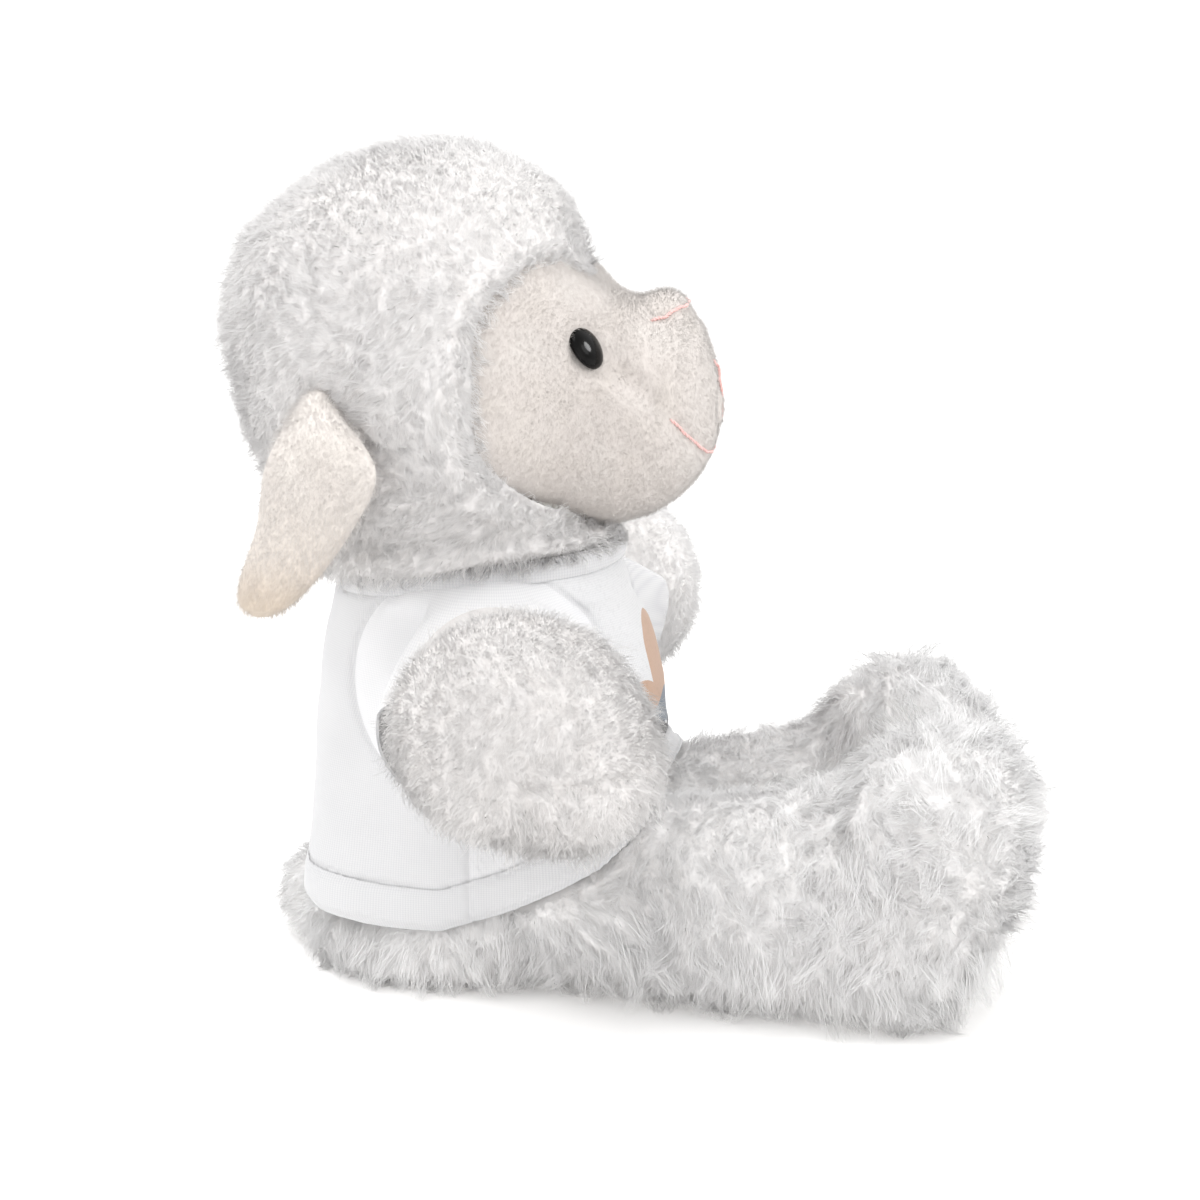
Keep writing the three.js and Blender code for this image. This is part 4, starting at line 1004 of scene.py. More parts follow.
# painted shade and light: the near arm's pile is a darker copy of the white pile and the far arm's a lighter copy, for
# how the light falls on each
M_ARM = pile_material("arm_pile", (0.808, 0.788, 0.777, 1), (0.842, 0.824, 0.814, 1), (0.864, 0.848, 0.838, 1))
M_FAR_ARM_PAINTED_LIGHTER = pile_material("left_arm_pile_painted_lighter", (0.942, 0.928, 0.920, 1), (0.966, 0.955, 0.948, 1), (0.978, 0.970, 0.964, 1))
M_PLUSH = plush_material("ivory_plush", lin(212, 205, 199), lin(214, 207, 202), lin(216, 210, 205))
M_NAP = nap_material("ivory_nap", lin(213, 206, 200), lin(223, 217, 212))
# painted light: the ears' plush and nap are lighter copies of the face's plush and nap, for the light that falls on the
# ears
M_EAR = ear_material("ear_plush", lin(228, 221, 215), lin(231, 225, 219), lin(234, 228, 223))
M_EAR_NAP = nap_material("ear_nap", lin(229, 222, 216), lin(238, 233, 229), (0.89, 0.80, 0.69, 1))
M_JERSEY = jersey_material("tee_jersey")
# painted light: the chest and the sleeves are lighter copies of the same jersey, the sleeves most of all
M_CHEST_PAINTED_LIGHTER = jersey_material("tee_jersey_chest_painted_lighter", print_on=True, lift=8)
M_SLEEVE_PAINTED_LIGHTER = jersey_material("tee_jersey_sleeve_painted_lighter", lift=17)
M_RIB = jersey_material("tee_rib", rib=0.0008)
M_SEW = thread_material("white_thread", lin(232, 232, 232), lin(206, 206, 207))
M_PINK = thread_material("pink_thread", lin(244, 205, 200), lin(238, 186, 181))
M_FIBRE = speckled_material("fibre_filling", lin(224, 222, 214), lin(246, 244, 240), 420, 1.0, 0.8, 0.001)
M_POUCH = speckled_material("pellet_pouch", lin(196, 190, 176), lin(224, 219, 208), 700, 0.8, 0.6, 0.0006)
M_WASHER = speckled_material("nylon_washer", lin(222, 222, 216), lin(238, 238, 234), 900, 0.45, 0.15, 0.0002)
M_RING = thread_material("gather_thread", lin(232, 228, 224), lin(206, 201, 196))
M_EYE = eye_material()


# ---------------------------------------------------------------------- placing
def place(o, body, slot, *nodes, fill=None):
    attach(o, body)
    if nodes:
        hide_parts(*nodes)
    return o


# -------------------------------------------------------------------------- head
_swirl = [ripples(40 + i, 6, 22, 48) for i in range(3)]


def wool_flow(p, n):
    w = np.stack([s(p) for s in _swirl], 1) * 0.42
    near = (1 - step(0, 6, face_outline(p)))[:, None]
    brow = (step(-45, -20, p[:, 1]) * step(160, 178, p[:, 2]))[:, None]
    low = (1 - step(96, 122, p[:, 2]))[:, None]
    back = np.array([[0, -0.2, -0.5]]) + brow * np.array([[0, -0.1, 0.4]]) + low * np.array([[0, 0.15, -0.35]])
    return w * (1 - 0.4 * near) + back * (1 - 0.4 * near) - gradient(face_outline, p) * 0.5 * near * (1 - 0.7 * brow)


def wool_trim(p):
    # shorter where the wool meets the face, over the brow, at the back and on the crown
    near = face_outline(p)
    brow = step(-48, -22, p[:, 1]) * step(160, 182, p[:, 2])
    back = (1 - step(-92, -66, p[:, 1])) * (1 - step(140, 160, p[:, 2]))
    return (0.75 + 0.25 * step(0, 9, near)) * (1 - 0.3 * brow) * (1 - 0.15 * back) * (1 - 0.25 * step(162, 190, p[:, 2]))


def wool_cover(p):
    """How far the wool stands up: it thins out at the face's edge, under the shirt's neck, over the brow, under the
    chin, on the crown and low at the back, and stands higher at the top of the back.
    """
    x, f, z = p.T
    brow = step(-48, -18, f) * step(160, 180, z)
    back = (1 - step(-92, -64, f)) * (0.1 + 0.9 * (1 - step(142, 162, z)))
    high_back = (1 - step(-80, -50, f)) * step(160, 178, z)
    chin = step(-44, -24, f) * (1 - step(108, 122, z))
    low = step(-2, 3.5, z - collar_top(f))
    return (0.1 + 0.9 * step(-1.5, 4.5, face_outline(p))) * (0.15 + 0.85 * low) * (1 - 0.58 * brow) * (1 - 0.62 * back + 0.55 * high_back) * (1 - 0.8 * chin) * (1 - 0.38 * step(172, 192, z))


# the wool's lower locks lie on the shirt's neck
collar_side = lambda p: np.where(p[:, 2] < collar_top(p[:, 1]) + 0.6, np.hypot(p[:, 0], p[:, 1] + 37) - 35.9, 20.0)


def wool_keep(p):
    return p[:, 2] > collar_top(p[:, 1]) - 0.5


WV, WT = surface(wool_field, (-52, -102, 86), (52, 10, 204), 0.95)
outside = lambda p: -(face_outline(p) + 1.2)
opening = lambda p: collar_top(p[:, 1]) - 8 - p[:, 2]
WV, WT = clip(*clip(WV, WT, outside), opening)
WV, WT = tufted(WV, WT, 71, 3.3, 1.9, wool_flow, gain=1.95, height=1.8, tip=0.5, cover=wool_cover,
                rough=lambda p: 1 - 0.55 * step(160, 186, p[:, 2]))
for name, node_name, parts, seed in (
    ("wool_crown", "head_crown_gusset", [lambda p: np.abs(p[:, 0]) - CROWN_HALF], 101),
    ("wool_left", "head_left_panel", [lambda p: CROWN_HALF - p[:, 0]], 102),
    ("wool_right", "head_right_panel", [lambda p: p[:, 0] + CROWN_HALF], 103),
):
    V, T = WV, WT
    for part in parts:
        V, T = clip(V, T, part)
    b = Build()
    add_skin(b, V, T)
    fur(b, V, T, seed, density=1.35, spacing=1.8, length=3.6, vary=0.2, lift=0.55, flow=wool_flow, curl=0.35, turns=0.6,
        clump=0.35, radius=0.06, tip=0.4, K=3, spread=0.9, trim=wool_trim, wave=0.7, keep=wool_keep, clear=(collar_side, 0.4))
    place(b.make(name, M_WOOL, "OFBake"), "head", "white_wool", node_name, fill=0.85)
    b = Build()
    fur(b, V, T, seed + 20, density=1.5, spacing=2.6, length=4.4, vary=0.26, lift=0.52, flow=wool_flow, curl=0.5, turns=0.7,
        clump=0.55, radius=0.058, tip=0.35, K=3, spread=0.85, trim=wool_trim, wave=0.7, keep=wool_keep, clear=(collar_side, 0.5))
    # ragged edge over the face
    fringe = lambda p: np.abs(face_outline(p) - 0.8) < 2.0
    fur(b, V, T, seed + 70, density=2.2, spacing=2.6, length=3.6, vary=0.35, lift=0.5, flow=wool_flow, curl=0.7, turns=0.6,
        clump=0.6, radius=0.055, tip=0.35, K=4, spread=1.1, wave=0.9, keep=fringe)
    place(b.make(name + "_curls", M_WOOL, "OFBake"), "head", "white_wool")
    b = Build()
    fur(b, V, T, seed + 50, density=0.55, spacing=3.3, length=4.8, vary=0.3, lift=0.6, flow=wool_flow, curl=0.9, turns=0.9,
        clump=0.72, radius=0.055, tip=0.35, K=4, spread=0.9, trim=wool_trim, wave=0.9, keep=wool_keep, clear=(collar_side, 0.5))
    place(b.make(name + "_wisps", M_WOOL, "OFBake"), "head", "white_wool")

# face: cheeks and muzzle, each a closed thin body cut along the sewn lines
FV, FT = surface(face_field, (-50, -52, 104), (50, 28, 184), 1.35)
FV, FT = clip(FV, FT, lambda p: face_outline(p) - 0.8)
lie = norm(np.array([[0.0, -0.35, -1.0]]))[0]
for name, node_name, parts, seed in (
    ("muzzle", "muzzle_panel", [lambda p: -lip_side(p)], 111),
    ("cheek_left", "face_left_panel", [lip_side, lambda p: -p[:, 0]], 112),
    ("cheek_right", "face_right_panel", [lip_side, lambda p: p[:, 0]], 113),
):
    V, T = FV, FT
    for part in parts:
        V, T = clip(V, T, part)
    b = Build()
    W, F = shell(V[:, :3], V[:, :3] - V[:, 3:6] * 1.3, T)
    b.add(W, F, None, np.concatenate([V[:, 3:6], -V[:, 3:6]]))
    place(b.make(name, M_PLUSH), "head", "ivory_plush", node_name, fill=0.9)
    b = Build()
    off_eye = lambda p: np.min([np.linalg.norm(p - np.array([s * EYE["x"], EYE["f"], EYE["z"]]), axis=1) for s in (-1, 1)], axis=0) > 4.4
    fur(b, V, T, seed, density=5.8, spacing=1.5, length=1.25, vary=0.2, lift=0.75, flow=lambda p, n: lie * 0.7 + np.stack([s(p) for s in _swirl], 1) * 0.4,
        clump=0.3, radius=0.06, tip=0.2, K=2, spread=0.25, keep=off_eye, wave=0, soft=0.92)
    place(b.make(name + "_nap", M_NAP, "OFBake"), "head", "ivory_plush")

# eyes: black domes on a flat rim, with the shank behind
for side, word in ((-1, "right"), (1, "left")):
    ax = norm(EYE_AXIS * np.array([side, 1, 1]))
    base = np.array([side * EYE["x"], EYE["f"], EYE["z"]])
    for _ in range(6):
        base = base - ax * face_field(base[None])[0] * 0.8
    base = base + ax * 0.25
    u = norm(np.cross(ax, [0, 0, 1.0]))
    w = np.cross(u, ax)
    prof = [(1.7, -6.0), (1.7, -0.9), (EYE["r"] * 0.9, -0.8), (EYE["r"], -0.3), (EYE["r"] * 1.0, 0.2)]
    prof += [(EYE["r"] * math.cos(a), 0.2 + EYE["dome"] * math.sin(a)) for a in np.linspace(0.06, math.pi / 2 - 0.05, 14)]
    seg = 48
    ang = np.linspace(0, 2 * math.pi, seg, endpoint=False)
    rings = [base + ax * h + r * (np.cos(ang)[:, None] * u + np.sin(ang)[:, None] * w) for r, h in prof]
    V = np.concatenate(rings + [[base + ax * prof[0][1]], [base + ax * (0.2 + EYE["dome"])]])
    F4, F3 = [], []
    for k in range(len(prof) - 1):
        for s in range(seg):
            a, c = k * seg + s, k * seg + (s + 1) % seg
            F4.append((a, c, c + seg, a + seg))
    e0, e1 = len(prof) * seg, len(prof) * seg + 1
    for s in range(seg):
        F3.append(((s + 1) % seg, s, e0))
        F3.append(((len(prof) - 1) * seg + s, (len(prof) - 1) * seg + (s + 1) % seg, e1))
    F4, F3 = np.array(F4), np.array(F3)
    # faces point out
    c = V[F4[seg * 8]].mean(0)
    nrm = np.cross(V[F4[seg * 8, 1]] - V[F4[seg * 8, 0]], V[F4[seg * 8, 2]] - V[F4[seg * 8, 0]])
    if (nrm * (c - base)).sum() < 0:
        F4, F3 = F4[:, ::-1], F3[:, ::-1]
    b = Build()
    b.add(V, F4)
    b.loops.append(F3[:, ::-1].ravel())
    b.sizes.append(np.full(len(F3), 3))
    b.uv.append(np.zeros((F3.size, 2)))
    place(b.make(word + "_eye_dome", M_EYE), "head", "eye", word + "_eye")


# pink stitching: two-ply thread in back-stitches laid on the plush
def on_face(pts, toward, lift):
    """Carries points along a direction on to the face's surface."""
    p = np.array(pts, float)
    d = norm(np.array(toward, float))
    for _ in range(40):
        p = p + d * np.clip(face_field(p), -3, 3)[:, None] * 0.6
    return p + gradient(face_field, p) * lift


def resample(p, n):
    s = np.concatenate([[0], np.cumsum(np.linalg.norm(np.diff(p, axis=0), axis=1))])
    t = np.linspace(0, s[-1], n)
    return np.stack([np.interp(t, s, p[:, i]) for i in range(3)], 1), s[-1]


def stitched(name, pts, toward, stitch, node_name):
    dense, total = resample(on_face(pts, toward, 0.0), 160)
    dense = on_face(dense, toward, 0.0)
    nrm = gradient(face_field, dense)
    count = max(1, int(round(total / stitch)))
    b = Build()
    edges = np.linspace(0, len(dense) - 1, count + 1)
    for i in range(count):
        at = np.linspace(max(0, edges[i] - 3), min(len(dense) - 1, edges[i + 1] + 3), 22)
        lo = np.floor(at).astype(int).clip(0, len(dense) - 2)
        fr = (at - lo)[:, None]
        p = dense[lo] * (1 - fr) + dense[lo + 1] * fr
        nn = norm(nrm[lo])
        t = np.linspace(0, 1, len(at))
        rise = (0.62 * np.sin(math.pi * t) ** 0.5 - 0.25)[:, None]
        p = p + nn * rise
        tan = norm(np.gradient(p, axis=0))
        sd = norm(np.cross(tan, nn))
        w = 2 * math.pi * t * 2.4
        for ply in (0, math.pi):
            q = p + (sd * np.cos(w + ply)[:, None] + nn * np.sin(w + ply)[:, None]) * 0.19
            tubes(b, q[None], np.full(len(at), 0.23), 6)
    place(b.make(name, M_PINK), "head", "pink_thread", node_name)


for side, word in ((-1, "right"), (1, "left")):
    stitched(word + "_nose_line", [(side * x, f, 175) for x, f in ((15.5, 6.5), (12.5, 9.5), (8.5, 12), (4.5, 13.4), (1.5, 13.8))],
             (0, 0, -1), 4.6, word + "_nose_stitch")
    stitched(word + "_mouth_line", [(side * x, 40, z) for x, z in ((1.6, 127), (7, 127.6), (13, 129.8), (18.5, 133.4), (22.3, 137.6))],
             (0, -1, 0), 5.0, word + "_mouth_stitch")
stitched("philtrum_line", [(0, 40, z) for z in (149, 145, 141, 137, 134)], (0, -1, 0), 4.8, "philtrum_stitch")

# -------------------------------------------------------------------------- ears
def spline(rows, n):
    """A smooth curve through the rows."""
    k = len(rows)
    pad = np.vstack([2 * rows[0] - rows[1], rows, 2 * rows[-1] - rows[-2]])
    t = np.linspace(0, k - 1 - 1e-6, n)
    i = t.astype(int)
    f = (t - i)[:, None]
    p0, p1, p2, p3 = pad[i], pad[i + 1], pad[i + 2], pad[i + 3]
    return 0.5 * (2 * p1 + (p2 - p0) * f + (2 * p0 - 5 * p1 + 4 * p2 - p3) * f ** 2 + (3 * p1 - p0 - 3 * p2 + p3) * f ** 3)


def ear_sheet(side):
    nv, nu = 60, 25
    rows = spline(EAR, nv)
    rows[:, 0] *= -side
    out = EAR_OUT * np.array([-side, 1, 1])
    c, wd = rows[:, :3], rows[:, 3]
    tan = norm(np.gradient(c, axis=0))
    across = np.array([[0, 1.0, 0]]) - out[None] * out[1]
    across = norm(np.repeat(across, nv, 0))
    o = norm(np.cross(across, tan))
    o *= np.sign((o @ out))[:, None]
    u = np.sin(np.linspace(-math.pi / 2, math.pi / 2, nu))
    v = np.linspace(0, 1, nv)
    pinch = (1 - step(0.0, 0.3, v))
    cup = 2.0 + 3.2 * pinch
    mid = c[:, None] + across[:, None] * (u[None] * wd[:, None] / 2)[..., None]
    # the leaf is cupped, and its front edge turns out below the pinched root
    turn = 1.6 * np.exp(-(((v - 0.3) / 0.13) ** 2))
    mid = mid + o[:, None] * (-cup[:, None] * (u[None] ** 2 - 0.35) * np.minimum(1, wd / 14)[:, None] + turn[:, None] * np.clip(u, 0, 1)[None] ** 2)[..., None]
    puff = np.sqrt(np.clip(1 - u ** 2, 0, 1))[None] * np.minimum(1, wd / 12)[:, None] * (1.35 + 0.25 * np.sin(v * 9))[:, None]
    T = []
    for i in range(nv - 1):
        for j in range(nu - 1):
            a, b_, c_, d_ = i * nu + j, i * nu + j + 1, (i + 1) * nu + j + 1, (i + 1) * nu + j
            T += [(a, b_, c_), (a, c_, d_)]
    return mid, o, puff, np.array(T), nv, nu


for side, word in ((-1, "right"), (1, "left")):
    mid, o, puff, T, nv, nu = ear_sheet(side)
    for leaf, way in (("outer", 1.0), ("inner", -1.0)):
        flatm = mid.reshape(-1, 3)
        oo = np.repeat(o[:, None], nu, 1).reshape(-1, 3)
        top = flatm + oo * (way * (0.35 + 1.75 * puff.reshape(-1, 1)))
        bottom = flatm + oo * (way * 0.12)
        tt = T
        n0 = np.cross(top[T[:, 1]] - top[T[:, 0]], top[T[:, 2]] - top[T[:, 0]])
        if (n0 * oo[T[:, 0]] * way).sum() < 0:
            tt = T[:, ::-1]
        W, F = shell(top, bottom, tt)
        b = Build()
        b.add(W, F)
        ob = b.make(f"{word}_ear_{leaf}_leaf", M_EAR)
        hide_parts(f"{word}_ear_{leaf}")
        nt_ = np.zeros_like(top)
        fn = np.cross(top[tt[:, 1]] - top[tt[:, 0]], top[tt[:, 2]] - top[tt[:, 0]])
        for k in range(3):
            np.add.at(nt_, tt[:, k], fn)
        b = Build()
        fur(b, np.concatenate([top, norm(nt_)], 1), tt, 130 + side + int(way), density=7.0, spacing=1.5, length=1.8, vary=0.25, lift=0.85,
            flow=lambda p, n: np.array([[0, -0.2, -0.7]]) + 0 * p, clump=0.15, radius=0.055, tip=0.2, K=2, spread=0.35, wave=0,
            tone_at=lambda p: 0.12 + 0.7 * step(94, 120, p[:, 2]), soft=0.92)
        nb = b.make(f"{word}_ear_{leaf}_nap", M_EAR_NAP, "OFBake")
        for piece in (ob, nb):
            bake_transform(piece)

# -------------------------------------------------------------------------- torso
under_tee = lambda p: p[:, 2] - hem_height(p[:, 1]) - 3.0
TV, TT = surface(torso_field, (-46, -84, -3), (46, 12, 60), 1.4)
TV, TT = clip(TV, TT, under_tee)


def low_flow(p, n):
    w = np.stack([s(p) for s in _swirl], 1) * 0.35
    out = np.stack([p[:, 0] / 60, (p[:, 1] + 36) / 60, np.full(len(p), -0.75)], 1)
    return w + out


def low_cover(p):
    clear_ = np.minimum(leg_field(p, -1), leg_field(p, 1))
    return step(0, 6, hem_height(p[:, 1]) + 1 - p[:, 2]) * step(0.6, 5, p[:, 2]) * step(-8, -3, clear_)


TV, TT = tufted(TV, TT, 72, 5.0, 1.7, low_flow, gain=2.0, height=2.6, tip=0.8, cover=low_cover)
seat_line = lambda p: p[:, 2] - 3.5
for name, node_name, parts, seed in (
    ("seat", "seat_panel", [seat_line], 121),
    ("body_front", "torso_front_panel", [lambda p: -seat_line(p), lambda p: -34.5 - p[:, 1]], 122),
    ("body_back", "torso_back_panel", [lambda p: -seat_line(p), lambda p: p[:, 1] + 34.5], 123),
):
    V, T = TV, TT
    for part in parts:
        V, T = clip(V, T, part)
    b = Build()
    add_skin(b, V, T)
    hidden = lambda p: (p[:, 2] > 0.7) & (p[:, 2] < hem_height(p[:, 1]) + 1.0) & (np.minimum(leg_field(p, -1), leg_field(p, 1)) > -3.5)
    fur(b, V, T, seed, density=2.2, spacing=2.6, length=4.4, vary=0.2, lift=0.6, flow=low_flow, curl=0.3, turns=0.6, clump=0.45,
        radius=0.062, tip=0.3, K=4, spread=0.7, droop=0.1, keep=hidden, wave=0.9)
    fur(b, V, T, seed + 40, density=1.0, spacing=5.0, length=8.0, vary=0.3, lift=0.5, flow=low_flow, curl=0.6, turns=0.5, clump=0.75,
        radius=0.06, tip=0.25, K=5, spread=0.6, droop=0.15, keep=hidden, wave=0.9)
    place(b.make(name, M_PILE, "OFBake"), "torso", "white_wool", node_name, fill=0.85)

# --------------------------------------------------------------------------- tail
tail_flow = lambda p, n: np.array([[0, -0.45, -0.4]]) + 0.3 * np.stack([s(p) for s in _swirl], 1)
AV, AT = surface(tail_field, (-14, -96, -3), (14, -60, 30), 1.1)
AV, AT = tufted(AV, AT, 73, 4.0, 1.5, tail_flow, gain=1.2, height=1.8, tip=0.6, cover=lambda p: step(0.6, 5, p[:, 2]) * (1 - step(-76, -70, p[:, 1])))
for name, node_name, part, seed in (
    ("tail_top", "tail_upper_panel", lambda p: 14.4 - p[:, 2], 125),
    ("tail_base", "tail_under_panel", lambda p: p[:, 2] - 14.4, 126),
):
    V, T = clip(AV, AT, part)
    b = Build()
    add_skin(b, V, T)
    tail_keep = lambda p: (p[:, 2] > 0.8) & (p[:, 1] < -71)
    fur(b, V, T, seed, density=2.4, spacing=2.6, length=3.4, vary=0.2, lift=0.7, flow=tail_flow, curl=0.3, turns=0.7, clump=0.45, radius=0.062,
        tip=0.3, K=4, spread=0.7, droop=0.1, keep=tail_keep, wave=0.9)
    fur(b, V, T, seed + 40, density=0.9, spacing=4.0, length=4.8, vary=0.26, lift=0.6, flow=tail_flow, curl=0.5, turns=0.6, clump=0.75, radius=0.06,
        tip=0.25, K=5, spread=0.6, droop=0.12, keep=tail_keep, wave=0.9)
    place(b.make(name, M_PILE, "OFBake"), "tail", "white_wool", node_name, fill=0.85)

# --------------------------------------------------------------------------- legs
for side, word in ((-1, "right"), (1, "left")):
    field = lambda p, s=side: leg_field(p, s)
    lo = (-75, -34, -3) if side < 0 else (-4, -34, -3)
    hi = (4, 102, 72) if side < 0 else (75, 102, 72)
    LV, LT = surface(field, lo, hi, 1.35)
    along = norm(np.array([side * LEG["splay"], 0.979, 0]))

    def leg_flow(p, n, side=side, along=along):
        s, u, z = leg_local(p, side).T
        w = np.stack([q(p) for q in _swirl], 1) * 0.4
        toe = step(66, 96, s)[:, None]
        fall = np.array([[0, 0, -0.62]]) + along[None] * 0.28
        fan = norm(np.stack([p[:, 0] - side * 38, p[:, 1] - 76, (p[:, 2] - 30)], 1)) * 0.55
        return w + fall * (1 - 0.65 * toe) + fan * toe

    def leg_keep(p, side=side):
        under = (tee_field(p) < 1.2) & (p[:, 2] > hem_height(p[:, 1]) - 1.5) & (p[:, 1] < 14)
        inside = torso_field(p) < -0.5
        return (p[:, 2] > 0.75) & ~under & ~inside

    def leg_trim(p):
        gap = np.maximum(hem_height(p[:, 1]) - p[:, 2], 0)
        low = 0.72 + 0.28 * step(0, 7, p[:, 2])
        thigh = 1 - 0.4 * step(20, 40, p[:, 2]) * (1 - step(36, 60, p[:, 1]))
        toe = 1 - (0.32 + 0.25 * (1 - step(8, 26, p[:, 2]))) * step(78, 104, p[:, 1])
        return np.where(p[:, 1] < 12, 0.55 + 0.45 * step(0, 8, gap), 1.0) * low * thigh * toe

    def leg_cover(p, side=side):
        gap = hem_height(p[:, 1]) - p[:, 2]
        free = step(8, 16, p[:, 1])
        show = free + (1 - free) * step(-2, 5, gap)
        thigh = 1 - 0.7 * step(20, 40, p[:, 2]) * (1 - step(30, 58, p[:, 1]))
        toe = 1 - (0.4 + 0.6 * (1 - step(10, 34, p[:, 2]))) * step(76, 96, p[:, 1])
        top = 1 - 0.85 * (side > 0) * np.maximum(step(44, 60, p[:, 2]), step(26, 38, p[:, 2]) * (1 - step(52, 66, p[:, 1])))
        inside = step(-5, -1, torso_field(p))
        return show * thigh * toe * top * inside * step(0.6, 6, p[:, 2])

    LV, LT = tufted(LV, LT, 75 + side, 6.2, 1.8, leg_flow, gain=1.95, height=2.55, tip=0.85, cover=leg_cover)
    for part_name, node_name, part, seed in (
        ("outer", f"{word}_leg_outer_panel", lambda p, s=side: -leg_local(p, s)[:, 1], 140 + side),
        ("inner", f"{word}_leg_inner_panel", lambda p, s=side: leg_local(p, s)[:, 1], 150 + side),
    ):
        V, T = clip(LV, LT, part)
        b = Build()
        add_skin(b, V, T)
        fur(b, V, T, seed, density=1.4, spacing=2.4, length=4.6, vary=0.2, lift=0.6, flow=leg_flow, curl=0.4, turns=0.6, clump=0.4,
            radius=0.065, tip=0.3, K=4, spread=0.75, droop=0.08, keep=leg_keep, trim=leg_trim, wave=0.9)
        place(b.make(f"{word}_leg_{part_name}", M_PILE, "OFBake"), word + "_leg", "white_wool", node_name, fill=0.85)
        b = Build()
        fur(b, V, T, seed + 40, density=1.1, spacing=3.4, length=6.0, vary=0.28, lift=0.5, flow=leg_flow, curl=0.6, turns=0.5, clump=0.6,
            radius=0.06, tip=0.3, K=4, spread=0.8, droop=0.1, keep=leg_keep, trim=leg_trim, wave=1.0)
        place(b.make(f"{word}_leg_{part_name}_locks", M_PILE, "OFBake"), word + "_leg", "white_wool")
        b = Build()
        fur(b, V, T, seed + 60, density=0.75, spacing=6.4, length=10.0, vary=0.32, lift=0.42, flow=leg_flow, curl=1.0, turns=0.45, clump=0.8,
            radius=0.058, tip=0.3, K=5, spread=0.8, droop=0.18, keep=leg_keep, trim=leg_trim, wave=1.0)
        place(b.make(f"{word}_leg_{part_name}_wisps", M_PILE, "OFBake"), word + "_leg", "white_wool")

# --------------------------------------------------------------------------- arms
for side, word in ((-1, "right"), (1, "left")):
    field = lambda p, s=side: arm_field(p, s)
    lo = (-100, -66, 36) if side < 0 else (18, -66, 36)
    hi = (-18, 24, 116) if side < 0 else (100, 24, 116)
    RV, RT = surface(field, lo, hi, 1.2)
    o, d, u, w = arm_frame(side)

    def arm_flow(p, n, side=side, d=d, w=w):
        s, a, c = arm_local(p, side).T
        sw = np.stack([q(p) for q in _swirl], 1) * 0.4
        part = np.sign(c)[:, None] * w[None] * (0.08 * step(25, 45, s) + 0.4 * (1 - step(0, 6, np.abs(c))) * step(20, 34, s) * paw_seam(p))[:, None]
        along = 0.5 * step(22, 34, s) * (1 - step(32, 52, s)) - 0.55 * (1 - step(SLEEVE_END, SLEEVE_END + 8, s))
        return sw + d[None] * along[:, None] + np.array([[0, 0, -0.22]]) + part

    def arm_keep(p, side=side):
        return arm_local(p, side)[:, 0] > SLEEVE_END - 5.0

    def arm_cover(p, side=side):
        s, a, c = arm_local(p, side).T
        paw = 1 - 0.5 * (1 - step(0, 3.5, np.abs(c))) * step(30, 46, s) * paw_seam(p)
        far = 1 - 0.15 * (side > 0) * step(0, 10, c)
        rim = 0.25 * step(SLEEVE_END - 1, SLEEVE_END + 2, s) * (1 - step(SLEEVE_END + 6, SLEEVE_END + 16, s))
        return (0.35 + 0.65 * step(SLEEVE_END - 4, SLEEVE_END + 2, s) + rim) * paw * far * (1 + 0.3 * (side < 0) * step(2, 14, c))

    def arm_trim(p, side=side):
        s, a, c = arm_local(p, side).T
        paw = 1 - 0.3 * (1 - step(0, 4.5, np.abs(c))) * step(30, 46, s) * paw_seam(p)
        far = 1 - 0.3 * (side > 0) * step(0, 10, c)
        return (0.8 + 0.2 * step(SLEEVE_END - 2, SLEEVE_END + 6, s)) * paw * far

    RV, RT = tufted(RV, RT, 78 + side, 3.4, 1.4, arm_flow, gain=1.35, height=0.3, tip=0.1, cover=arm_cover)
    for part_name, part, seed in (
        ("top", lambda p, s=side: -arm_local(p, s)[:, 2], 160 + side),
        ("under", lambda p, s=side: arm_local(p, s)[:, 2], 170 + side),
    ):
        V, T = clip(RV, RT, part)
        b = Build()
        add_skin(b, V, T)
        fur(b, V, T, seed, density=2.3, spacing=2.2, length=3.3, vary=0.2, lift=0.6, flow=arm_flow, curl=0.35, turns=0.6, clump=0.18,
            radius=0.06, tip=0.3, K=4, spread=0.75, droop=0.06, keep=arm_keep, trim=arm_trim, wave=0.9)
        fur(b, V, T, seed + 40, density=0.6, spacing=4.0, length=5.2, vary=0.3, lift=0.5, flow=arm_flow, curl=0.6, turns=0.5, clump=0.45,
            radius=0.058, tip=0.25, K=5, spread=0.7, droop=0.08, keep=arm_keep, trim=arm_trim, wave=0.9)
        place(b.make(f"{word}_arm_{part_name}", M_ARM if side < 0 else M_FAR_ARM_PAINTED_LIGHTER, "OFBake"), word + "_arm", "white_wool", f"{word}_arm_{part_name}_panel", fill=0.85)

# ---------------------------------------------------------------------------- tee
EV, ET = surface(tee_field, (-72, -92, 8), (72, 26, 112), 1.5)
collar_low = lambda p: np.minimum(p[:, 2] - collar_top(p[:, 1]) + 3.4, 38.5 - np.hypot(p[:, 0], p[:, 1] + 37))
hole_of = lambda p: np.hypot((p[:, 1] - ARMHOLE["f"]) / ARMHOLE["rf"], (p[:, 2] - ARMHOLE["z"]) / ARMHOLE["rz"]) - 1


def in_hole(p):
    """Negative on the sleeves: inside the armhole's outline, or out along an arm."""
    d = np.maximum(hole_of(p) * 27, 20 - np.abs(p[:, 0]))
    for side in (-1, 1):
        d = np.minimum(d, np.maximum(arm_field(p, side) - 7, 7 - arm_local(p, side)[:, 0]))
    return d


